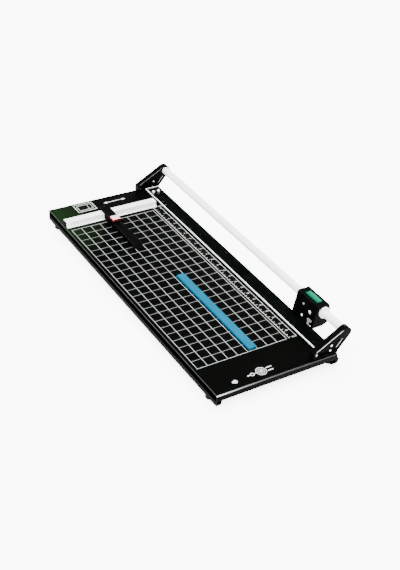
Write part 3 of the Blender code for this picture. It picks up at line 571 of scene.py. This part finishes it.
def make_board():
    """Folded panel, side rails and braces."""
    lo, hi = span("base_panel")
    y0, y1, z0 = lo[1], hi[1], lo[2]
    outline = [(y0, z0), (y0 + SHEET, z0), (y0 + SHEET, -SHEET), (y1 - SHEET, -SHEET), (y1 - SHEET, z0),
               (y1, z0), (y1, 0.0), (y0, 0.0)]
    cut, inner = 0.3, FOLD_RADIUS - SHEET
    radii = [cut, cut, inner, inner, cut, cut, FOLD_RADIUS, FOLD_RADIUS]
    solid = prism(rounded(outline, radii, 7), "X", lo[0], hi[0], 0.7)
    panel = piece("base_panel_skin", solid, "powder_coat", "base", "base_panel")
    mark_folds(panel.data, lo, hi)
    make_bare_corner(lo)
    for node in ("left_rail", "right_rail"):
        # Their rounded edges take the lighter edge finish, a painted highlight.
        refined(node, "moulded_black", "base", 0.5, edge="edge_highlight")
    for node in ("front_brace", "rear_brace"):
        refined(node, "powder_coat", "base", 0.3, 2)


def make_bare_corner(lo):
    """A painted glint at the panel's near left corner, where its fold begins."""
    length, radius = 3.4, 1.0
    start = np.array([lo[0] + 1.1, lo[1] + 0.6, -SHEET / 2])
    solid = bead(start, start + (length, 0.0, 0.0), radius)
    # A light bead painted as a glint.
    piece("corner_glint", solid, "painted_highlight", "base")


def mark_folds(mesh, lo, hi):
    """Give the near fold and the left edge of the panel their painted highlights, by where each face lies.
    """
    mesh.materials.append(LOOKS["near_fold"])
    mesh.materials.append(LOOKS["left_fold"])
    count = len(mesh.polygons)
    normals, centres = np.zeros(count * 3), np.zeros(count * 3)
    mesh.polygons.foreach_get("normal", normals)
    mesh.polygons.foreach_get("center", centres)
    normals = normals.reshape(-1, 3)
    centres = (centres.reshape(-1, 3) - ORIGIN) / MM
    leaning = (normals[:, 2] > 0.25) & (normals[:, 2] < 0.995)
    near = leaning & (normals[:, 1] < -0.1) & (centres[:, 1] < lo[1] + 3.0)
    left = leaning & (normals[:, 0] < -0.1) & (centres[:, 0] < lo[0] + 2.0)
    mesh.polygons.foreach_set("material_index", (near * 1 + (left & ~near) * 2).astype(np.int32))


def make_feet():
    """Moulded rubber feet: a tapered cup whose sole has two grooves, for grip, and a screw well."""
    groove, well, bore, floor = 0.5, 4.2, 2.0, 4.4
    for row in ("front", "rear"):
        for side in ("left", "right"):
            node = f"foot_{row}_{side}"
            lo, hi = span(node)
            centre = (lo + hi) / 2
            outer, top, sole = (hi[0] - lo[0]) / 2, hi[2], lo[2]
            profile = [(bore, top), (outer - 1.2, top), (outer, sole + 2.0), (outer - 1.2, sole)]
            for r in (8.4, 6.6):
                profile += [(r, sole), (r - 0.2, sole + groove), (r - 0.8, sole + groove), (r - 1.0, sole)]
            profile += [(well, sole), (well, sole + floor), (bore, sole + floor)]
            solid = turned(rounded(profile, 0.35, 4).tolist(), "Z", (centre[0], centre[1], 0.0), 72,
                                   loop=True)
            piece(f"{node}_rubber", solid, "foot_rubber", "base", node)
            make_screw(f"{node}_screw", "Z", -1, (3.4, 2.0), 1.6, "base")


def make_brackets():
    """End brackets with their screws, their set screws and their painted highlight lines."""
    for end, sign in (("near", -1), ("far", 1)):
        # Rounded edges in the lighter edge finish, a painted highlight.
        refined(f"{end}_bracket", "bracket_black", "base", 1.1, 4, edge="edge_highlight")
        for number in (1, 2, 3):
            make_screw(f"{end}_bracket_screw_{number}", "Y", sign, (2.8, 2.2), 1.6, "base")
        node = f"{end}_bracket_set_screw"
        lo, hi = span(node)
        centre = (lo + hi) / 2
        centre[2] = hi[2]
        solid = screw_solid(centre, "Z", 1, (1.7, 1.0), (1.7, hi[2] - lo[2]), "hex", domed=False)
        piece(f"{node}_socket", solid, "black_oxide", "base", node)
        make_bare_lines(end)


def make_guide_rail():
    """Round rail with a chamfer at each end."""
    lo, hi = span("guide_rail")
    centre, radius, chamfer = (lo + hi) / 2, (hi[0] - lo[0]) / 2, 0.8
    profile = [(0.0, lo[1]), (radius - chamfer, lo[1]), (radius, lo[1] + chamfer),
               (radius, hi[1] - chamfer), (radius - chamfer, hi[1]), (0.0, hi[1])]
    solid = turned(profile, "Y", (centre[0], 0.0, centre[2]), 128)
    piece("guide_rail_tube", solid, "plated_rail", "base", "guide_rail")


def make_bare_lines(end):
    """Painted highlight lines on a bracket: along its upper slope's near corner, and at the foot of its
    lower rim.
    """
    face = span(f"{end}_bracket")[0][1]
    # The far bracket's slope line is a dimmer painted highlight than the near one's.
    slope_look = "painted_highlight" if end == "near" else "dim_painted_highlight"
    for part, look, line, depth, radius in (("slope", slope_look, SLOPE_LINE, 0.28, 0.5),
                                            ("rim", "painted_highlight", RIM_LINE, WEB_DEPTH - 0.1, 0.75)):
        start, finish = (np.array([x, face + depth, z]) for x, z in line)
        solid = bead(start, finish, radius)
        piece(f"{end}_bracket_highlight_{part}", solid, look, "base")


def bead(start, end, radius, steps=12):
    """A slender round bar between two points, drawn out to a point at both ends.

    Its radius at share t of the way along is radius * (1 - (2t - 1)^8).
    """
    shares = np.concatenate([np.linspace(0, 0.12, 6), np.linspace(0.2, 0.8, 7), np.linspace(0.88, 1, 6)])
    along = (end - start) / np.linalg.norm(end - start)
    side = np.cross(along, (0.0, 1.0, 0.0))
    up = np.cross(along, side / np.linalg.norm(side))
    angles = np.linspace(0, 2 * math.pi, steps, endpoint=False)[None, :, None]
    reach = radius * (1.001 - (2 * shares - 1) ** 8)[:, None, None]
    middle = (start + (end - start) * shares[:, None])[:, None, :]
    return ringed(middle + reach * (np.cos(angles) * side + np.sin(angles) * up))


def make_counter_blade():
    """Fixed blade, its ground edge brighter than its faces, and the row of screws that holds it."""
    refined("counter_blade", "blued_steel", "base", 0.2, 2, edge="blade_steel")
    number = 1
    while f"blade_screw_{number}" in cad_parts:
        make_screw(f"blade_screw_{number}", "X", 1, (2.9, 1.6), 1.3, "base", domed=False)
        number += 1


def make_scale_bar():
    """White scale bar and its two end caps: one section carried along X, with division marks on its lip."""
    lo, hi = span("scale_bar")
    y0, y1, top, base = lo[1], hi[1], hi[2], lo[2]
    outline = [(y0, base), (y0, LIP_LOW), (y0 + LIP_RUN, LIP_LOW + LIP_RISE), (y0 + 6.4, top - 0.9),
               (y0 + 7.3, top), (y1 - 0.8, top), (y1, top - 0.8), (y1, base)]
    section = rounded(outline, [0.3, 0.5, 1.6, 0.6, 0.9, 0.5, 0.5, 0.3], 5)
    solid = prism(section, "X", lo[0], hi[0], 0.25)
    piece("scale_bar_body", solid, "white_enamel", "base", "scale_bar")
    for node in ("scale_bar_left_cap", "scale_bar_right_cap"):
        low, high = span(node)
        solid = prism(section, "X", low[0], high[0], 0.5)
        piece(f"{node}_moulding", solid, "moulded_black", "base", node)
    make_scale_marks(lo, hi)


def make_scale_marks(lo, hi):
    """Marks every 5 mm up the scale bar's lip, the whole centimetres longer."""
    first, last, inwards, width = -11.5, 13.0, 0.4, 1.1
    slope = math.atan2(LIP_RISE, LIP_RUN)
    marks = []
    for centimetre in np.arange(first, last + 0.01, 0.5):
        x = centimetre * 10.0
        if lo[0] + 3 < x < hi[0] - 3:
            reach = 4.2 if abs(centimetre - round(centimetre)) < 0.01 else 2.8
            foot = (x, lo[1] + inwards, LIP_LOW + inwards * math.tan(slope))
            marks.append(tilted_mark(foot, reach, slope, width))
    print_marks("scale_bar_marks", marks, "scale_ink")


def tilted_mark(foot, reach, slope, width):
    """A thin printed bar that climbs a face sloping up towards +Y."""
    along = np.array([0.0, math.cos(slope), math.sin(slope)]) * reach
    up = np.array([0.0, -math.sin(slope), math.cos(slope)]) * INK_TOP
    start, across = np.array(foot), np.array([width / 2, 0.0, 0.0])
    ring = np.array([start - across, start + across, start + across + along, start - across + along])
    return ringed([ring - up * 0.5, ring + up])


def inked(outline):
    """A thin printed shape lying on the board."""
    outline = np.asarray(outline, float)
    return ringed([np.column_stack([outline, np.full(len(outline), z)]) for z in (INK_LOW, INK_TOP)])


def flat_mark(x0, x1, y0, y1):
    """A printed rectangle."""
    return inked([(x0, y0), (x1, y0), (x1, y1), (x0, y1)])


def ring_mark(centre, outer, inner):
    """A printed ring, or a disc where inner is 0."""
    profile = [(inner, INK_LOW), (outer, INK_LOW), (outer, INK_TOP), (inner, INK_TOP)]
    return turned(profile, "Z", (*centre, 0.0), 48, loop=inner > 0)


def print_marks(name, marks, ink="white_ink"):
    """Make a list of marks one printed piece."""
    solid = joined(marks)
    piece(name, solid, ink, "base", sharp=MARK_SHARP)


def make_grid():
    """The inch grid: its long lines and border, then the fainter cross lines between them."""
    gx, gy = GRID_HALF
    half = 0.55
    marks = [flat_mark(x - half, x + half, -gy - half, gy + half) for x in np.arange(-gx, gx + 1, INCH)]
    marks += [flat_mark(-gx + half, gx - half, y - half, y + half) for y in (-gy, gy)]
    print_marks("printed_grid", marks, "grid_ink")
    marks = [flat_mark(x + half, x + INCH - half, y - half, y + half)
             for x in np.arange(-gx, gx - 1, INCH) for y in np.arange(INCH - gy, gy - 1, INCH)]
    print_marks("printed_cross_lines", marks, "cross_ink")


def make_ruler():
    """The ruler's two lines, centimetre ticks on one and inch ticks on the other, and the cross line."""
    marks = [flat_mark(x - 0.45, x + 0.45, RULER_NEAR, RULER_FAR) for x in (RULER_LEFT, RULER_RIGHT)]
    first_tick, tick_start = 290.0, RULER_LEFT + 0.8
    for number in range(0, 59):
        y = first_tick - 10.0 * number
        if y > RULER_NEAR + 2:
            reach = 6.4 if number % 5 == 0 else 4.2
            marks.append(flat_mark(tick_start, tick_start + reach, y - 0.3, y + 0.3))
    for number in range(0, 24):
        y = GRID_HALF[1] - INCH * number
        marks.append(flat_mark(RULER_RIGHT - 4.6, RULER_RIGHT - 0.6, y - 0.5, y + 0.5))
    cross = RULER_FAR + 0.4
    marks.append(flat_mark(-122.0, 163.0, cross, cross + 1.4))
    marks.append(flat_mark(150.0, 162.0, cross + 15.6, cross + 17.0))
    print_marks("printed_ruler", marks)


def make_symbols():
    """Plain printed symbols: feeding ones near the user, a sheet and an arrow at the far end."""
    print_marks("printed_symbols", feed_symbols() + sheet_symbol() + arrow_symbol())


def feed_symbols():
    """A pad, a roll with a small one beside it, and two feed lines."""
    pad = [(-74.5, -361.0), (-69.5, -364.6), (-64.5, -366.6), (-60.8, -364.0), (-60.6, -358.6),
           (-64.0, -355.8), (-69.5, -357.4)]
    tongue = [(-33.4, -359.6), (-25.4, -358.4), (-25.4, -356.2), (-33.4, -356.4)]
    roll = ((12.2, 10.6), (7.4, 6.0), (3.2, 0.0))
    marks = [inked(rounded(pad, 1.4, 4))]
    marks += [ring_mark((2.0, -357.0), outer, inner) for outer, inner in roll]
    marks += [ring_mark((-20.6, -357.6), 4.8, 3.0), flat_mark(-15.0, -10.8, -357.9, -356.7)]
    marks += [inked(rounded(tongue, 0.6, 4))]
    return marks + [flat_mark(17.0, 31.0, -353.2, -350.8), flat_mark(16.0, 30.0, -362.6, -360.2)]


def sheet_symbol():
    """A sheet in a frame, with a dashed cut line across the sheet."""
    x0, x1, y0, y1 = SHEET_MARK
    marks = []
    for margin, wide in ((0.0, 1.7), (6.6, 1.2)):
        a, b, c, d = x0 + margin, x1 - margin, y0 + margin, y1 - margin
        marks += [flat_mark(a, b, c, c + wide), flat_mark(a, b, d - wide, d)]
        marks += [flat_mark(a, a + wide, c + wide, d - wide), flat_mark(b - wide, b, c + wide, d - wide)]
    cut = x0 + (x1 - x0) * 0.64
    return marks + [flat_mark(cut, cut + 1.4, y, y + 3.4) for y in np.arange(y0 + 9.6, y1 - 10.0, 5.6)]


def arrow_symbol():
    """A double arrow along X."""
    x, y = ARROW_CENTRE
    tip, base, half_head, half_line = 32.0, 22.0, 4.4, 1.0
    marks = [flat_mark(x - base - 1.0, x + base + 1.0, y - half_line, y + half_line)]
    for side in (-1, 1):
        head = [(x + side * tip, y), (x + side * base, y + half_head), (x + side * base, y - half_head)]
        marks.append(inked(rounded(head, 0.4, 4)))
    return marks


def make_numerals():
    """Inch numbers beside the ruler, counted from the scale bar towards the near end."""
    column, size = 131.5, 6.0
    for number in range(1, 24):
        middle = (column, GRID_HALF[1] - INCH * number, INK_TOP / 2 + INK_LOW)
        print_marks(f"inch_{number}", [numeral(number, size, middle)])


def numeral(number, size, middle):
    """A number in the built-in font, as thick as the ink and centred on a place."""
    curve = bpy.data.curves.new(f"inch_{number}", "FONT")
    curve.body = str(number)
    curve.size = size * MM
    curve.align_x, curve.align_y = "CENTER", "CENTER"
    curve.extrude = INK_TOP / 2 * MM
    curve.resolution_u = 2
    holder = added(f"inch_{number}_text", curve)
    bpy.context.view_layer.update()
    mesh = bpy.data.meshes.new_from_object(holder.evaluated_get(bpy.context.evaluated_depsgraph_get()))
    bpy.data.objects.remove(holder, do_unlink=True)
    points = np.zeros(len(mesh.vertices) * 3)
    mesh.vertices.foreach_get("co", points)
    faces = [list(polygon.vertices) for polygon in mesh.polygons]
    bpy.data.meshes.remove(mesh)
    return points.reshape(-1, 3) / MM + middle, faces


def make_clamp_strip():
    """The clear strip, its white sawn edge on the left and at both ends, and its dark cut edge."""
    refined("clamp_strip", "clear_acrylic", "clamp", 0.25, 2)
    (x0, y0, z0), (x1, y1, z1) = span("clamp_strip")
    band, lap, gap = 1.3, 0.12, 0.1
    bottom, top = z0 - lap / 2, z1 + lap
    sides = [slab((x0 - lap, y0 - lap, bottom), (x0 + band, y1 + lap, top), 0.3, 0.2)]
    for y_low, y_high in ((y0 - lap, y0 + band), (y1 - band, y1 + lap)):
        sides.append(slab((x0 + band, y_low, bottom), (x1 + lap, y_high, top), 0.1, 0.08))
    solid = joined(sides)
    piece("clamp_strip_edge", solid, "acrylic_edge", "clamp")
    solid = slab((x1 - band, y0 + band + gap, bottom), (x1 + lap, y1 - band - gap, top), 0.3, 0.2)
    piece("clamp_strip_cut_edge", solid, "moulded_black", "clamp")


def make_clamp_posts():
    """The strip's four headed posts, each with a spring round it."""
    head_length, stem = 3.0, 2.4
    for row in ("near", "far"):
        for side in ("inner", "outer"):
            node = f"clamp_post_{row}_{side}"
            lo, hi = span(node)
            centre = (lo + hi) / 2
            head, top, neck = (hi[0] - lo[0]) / 2, hi[2], hi[2] - head_length
            profile = [(0.0, top), (head, top), (head, neck), (stem, neck), (stem, lo[2]), (0.0, lo[2])]
            solid = turned(softened(profile, 0.5), "Z", (centre[0], centre[1], 0.0), 48)
            piece(f"{node}_pin", solid, "white_nylon", "base", node)
            make_spring(f"clamp_spring_{row}_{side}")


def make_spring(node):
    """A conical spring: wire carried along a helix whose radius shrinks as it climbs.

    At share s of the wire the helix has turned by 2 pi turns s. The first and last three quarters of a turn
    lie flat, and between them the height and the radius change evenly.
    """
    lo, hi = span(node)
    centre = (lo + hi) / 2
    wire, turns, flat_turns, mouth, steps, sides = 0.35, 4.5, 0.75, 2.9, 170, 8
    bottom, top = lo[2] + wire, hi[2] - wire
    outer, inner = (hi[0] - lo[0]) / 2 - wire, mouth + wire
    s = np.linspace(0, 1, steps)
    angle = 2 * math.pi * turns * s
    rise = np.clip((s * turns - flat_turns) / (turns - 2 * flat_turns), 0, 1)
    radius = outer + (inner - outer) * rise
    path = np.stack([centre[0] + radius * np.cos(angle), centre[1] + radius * np.sin(angle),
                     bottom + (top - bottom) * rise], -1)
    tangent = np.gradient(path, axis=0)
    tangent /= np.linalg.norm(tangent, axis=1, keepdims=True)
    side = np.cross(tangent, [0.0, 0.0, 1.0])
    side /= np.linalg.norm(side, axis=1, keepdims=True)
    up = np.cross(side, tangent)
    around = np.linspace(0, 2 * math.pi, sides, endpoint=False)[None, :, None]
    rings = path[:, None] + wire * (np.cos(around) * side[:, None] + np.sin(around) * up[:, None])
    solid = ringed(rings)
    spring = piece(f"{node}_coil", solid, "zinc_plate", "base", node, sharp=60.0)
    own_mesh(spring)


def make_paper_stop():
    """Sliding stop: saddle, arm and screw in black, and a red cursor whose upper face is painted paler, a
    painted highlight.
    """
    for node in ("stop_saddle", "stop_arm"):
        # Rounded edges in the lighter edge finish, a painted highlight.
        refined(node, "moulded_black", "paper_stop", 0.9, 4, edge="edge_highlight")
    lo, hi = span("stop_cursor")
    solid = slab(lo, hi, 0.9, 0.6)
    block = piece("stop_cursor_block", solid, "cursor_red", "paper_stop",
                  "stop_cursor", second="cursor_top_highlight")
    # Upward faces take the paler finish: a painted highlight on the cursor's top.
    normals = np.zeros(len(block.data.polygons) * 3)
    block.data.polygons.foreach_get("normal", normals)
    block.data.polygons.foreach_set("material_index", (normals.reshape(-1, 3)[:, 2] > 0.8).astype(np.int32))
    make_screw("stop_screw", "Y", -1, (2.6, 2.0), 1.4, "paper_stop")


def make_magnetic_bar():
    """Cyan bar with its edges rounded over, and the magnet in the slot under it."""
    refined("magnetic_bar", "bar_cyan", "magnet_bar", 0.7, 4)
    lo, hi = span("bar_magnet")
    solid = slab(lo, hi, 0.8, 0.2)
    piece("bar_magnet_strip", solid, "dark_ferrite", "magnet_bar", "bar_magnet")


def make_head():
    """Cutter head: body, cover, inlay and everything mounted on them."""
    # Rounded edges of body and cover in the lighter edge finish, a painted highlight.
    refined("head_body", "moulded_black", "head", 1.2, 4, edge="edge_highlight")
    refined("head_cover", "moulded_black", "head", 0.6, 3, edge="edge_highlight")
    solid = slab(*span("head_inlay"), 1.6, 0.4)
    piece("head_inlay_plate", solid, "inlay_green", "head", "head_inlay")
    make_bushes()
    for number in (1, 2):
        make_screw(f"cover_screw_{number}", "X", -1, COVER_SCREW_HEAD, 1.5, "head")
    make_cover_plate()
    make_axle()
    make_wheel()
    make_roller()
    refined("spring_washer", "wheel_steel", "head", 0.1, 2)
    make_roller_pin()


def make_bushes():
    """Nylon bushes that run on the rail, each with a flange at the head's end face."""
    rail_lo, rail_hi = span("guide_rail")
    centre, bore = (rail_lo + rail_hi) / 2, (rail_hi[0] - rail_lo[0]) / 2 + 0.3
    flange_length, step = 5.2, 2.2
    for node, side in (("near_bush", -1), ("far_bush", 1)):
        low, high = span(node)
        face, inner = (low[1], high[1]) if side < 0 else (high[1], low[1])
        outer, flange = (high[0] - low[0]) / 2, face - side * flange_length
        profile = [(bore, face), (outer, face), (outer, flange), (outer - step, flange),
                   (outer - step, inner), (bore, inner)]
        solid = turned(rounded(profile, [0.6, 1.4, 0.5, 0.3, 0.3, 0.3], 5).tolist(), "Y",
                               (centre[0], 0.0, centre[2]), 96, loop=True)
        piece(f"{node}_collar", solid, "white_nylon", "head", node)


def make_axle():
    """The wheel's axle: a bolt with a hexagon socket in its head."""
    lo, hi = span("wheel_axle")
    centre = (lo + hi) / 2
    centre[0] = lo[0] + AXLE_HEAD[1]
    shank = (2.5, hi[0] - lo[0] - AXLE_HEAD[1])
    solid = screw_solid(centre, "X", -1, AXLE_HEAD, shank, "hex")
    # Its near-white finish is a painted glint.
    piece("wheel_axle_bolt", solid, "glint_white_plate", "head", "wheel_axle")


def make_roller_pin():
    """Plain pin that the presser roller turns on."""
    lo, hi = span("roller_pin")
    centre, radius = (lo + hi) / 2, (hi[2] - lo[2]) / 2
    profile = [(0.0, lo[0]), (radius, lo[0]), (radius, hi[0]), (0.0, hi[0])]
    solid = turned(softened(profile, 0.3), "X", (0.0, centre[1], centre[2]), 40)
    piece("roller_pin_rod", solid, "zinc_plate", "head", "roller_pin")


def make_cover_plate():
    """Upright oblong plate under the lower cover screw: a stadium outline, rounded at its rim."""
    lo, hi = span("cover_screw_2")
    y, z = (lo + hi)[1:] / 2
    (half_y, half_z), sunk = PLATE_HALF, 0.1
    ring = [(y + half_y * a, z + half_z * b) for a, b in ((-1, -1), (1, -1), (1, 1), (-1, 1))]
    face = lo[0] + COVER_SCREW_HEAD[1]
    solid = prism(rounded(ring, half_y - 0.01, 10), "X", face - PLATE_THICK, face + sunk, 0.15)
    # Its near-white finish is a painted glint.
    piece("cover_plate", solid, "glint_white_plate", "head")


def make_wheel():
    """Round blade: a flat disc, thinned in steps towards a keen edge on its inner face."""
    lo, hi = span("cutting_wheel")
    centre, radius, half = (lo + hi) / 2, (hi[2] - lo[2]) / 2, (hi[0] - lo[0]) / 2
    bore, hub, hollow, bevel = 2.8, 8.0, 0.25, 3.2
    profile = [(bore, half), (hub, half), (hub + 0.3, half - hollow), (radius - bevel, half - hollow),
               (radius, -half + 0.06), (radius, -half), (radius - 9.0, -half), (radius - 9.2, -half + 0.15),
               (6.0, -half + 0.15), (5.8, -half), (bore, -half)]
    solid = turned(profile, "X", centre, 160, loop=True)
    piece("cutting_wheel_disc", solid, "wheel_steel", "wheel", "cutting_wheel",
          sharp=12.0)


def make_roller():
    """Presser roller: a moulded tyre with two shallow grooves round it."""
    lo, hi = span("presser_roller")
    centre, radius, half = (lo + hi) / 2, (hi[2] - lo[2]) / 2, (hi[0] - lo[0]) / 2
    bore, floor = 1.8, radius - 0.35
    profile = [(bore, half), (radius, half), (radius, 1.1), (floor, 0.9), (floor, 0.5), (radius, 0.3),
               (radius, -0.3), (floor, -0.5), (floor, -0.9), (radius, -1.1), (radius, -half), (bore, -half)]
    solid = turned(rounded(profile, 0.3, 3).tolist(), "X", centre, 96, loop=True)
    piece("presser_roller_tyre", solid, "grey_nylon", "roller", "presser_roller")


# ---------------------------------------------------------------- stage

def make_stage():
    """Pale, softly glowing floor, the surround and two large lights."""
    mesh = bpy.data.meshes.new("floor")
    half = 20.0
    corners = [(-half, -half, 0.0), (half, -half, 0.0), (half, half, 0.0), (-half, half, 0.0)]
    mesh.from_pydata(corners, [], [(0, 1, 2, 3)])
    floor = added("floor", mesh)
    mesh.materials.append(Finish("lit_table", (0.93, 0.93, 0.93), 0.9, Specular_IOR_Level=0.1,
                                 Emission_Color=(1.0, 1.0, 1.0, 1.0), Emission_Strength=5.5).material)
    make_world()
    add_light("key", (-2.2, -1.2, 3.2), 1.6, 210.0)
    add_light("fill", (1.8, 1.6, 3.4), 2.0, 160.0)


def make_world():
    """Soft studio surround: a bright ceiling, dim walls and a pale band at the horizon."""
    world = bpy.data.worlds.new("studio")
    world.use_nodes = True
    nodes, links = world.node_tree.nodes, world.node_tree.links
    direction = nodes.new("ShaderNodeTexCoord")
    split = nodes.new("ShaderNodeSeparateXYZ")
    ramp = nodes.new("ShaderNodeValToRGB")
    stops = [(0.0, 0.62), (0.08, 0.62), (0.24, 0.03), (0.80, 0.03), (0.90, 1.0)]
    elements = ramp.color_ramp.elements
    while len(elements) < len(stops):
        elements.new(0.5)
    for element, (place, level) in zip(elements, stops):
        element.position = place
        element.color = (level, level, level, 1.0)
    links.new(direction.outputs["Generated"], split.inputs["Vector"])
    links.new(split.outputs["Z"], ramp.inputs["Fac"])
    background = nodes["Background"]
    background.inputs["Strength"].default_value = 11.0
    links.new(ramp.outputs["Color"], background.inputs["Color"])
    bpy.context.scene.world = world


def add_light(name, place, size, power):
    """A square area light aimed at the middle of the floor; power is in watts."""
    data = bpy.data.lights.new(name, "AREA")
    data.size = size
    data.energy = power
    light = added(name, data)
    light.location = place
    light.rotation_euler = (-Vector(place)).to_track_quat("-Z", "Y").to_euler()


def make_camera():
    """Camera looking over the near left corner: its azimuth, elevation, roll, distance and aim."""
    azimuth, elevation, roll = math.radians(-35.13), math.radians(35.11), math.radians(5.66)
    distance = 2.379
    aim = Vector(ORIGIN) + Vector((49.6, -39.0, 0.0)) * MM
    back = Vector((math.sin(azimuth) * math.cos(elevation), -math.cos(azimuth) * math.cos(elevation),
                   math.sin(elevation)))
    data = bpy.data.cameras.new("camera")
    data.lens = 65.22
    data.sensor_width = 36.0
    camera = added("camera", data)
    camera.location = aim + back * distance
    level = (-back).to_track_quat("-Z", "Y").to_matrix()
    camera.rotation_euler = (level @ Matrix.Rotation(roll, 3, "Z")).to_euler()
    bpy.context.scene.camera = camera


make_board()
make_feet()
make_brackets()
make_guide_rail()
make_counter_blade()
make_scale_bar()
make_grid()
make_ruler()
make_numerals()
make_symbols()
make_clamp_strip()
make_clamp_posts()
make_paper_stop()
make_magnetic_bar()
make_head()
make_stage()
make_camera()

bpy.context.view_layer.update()
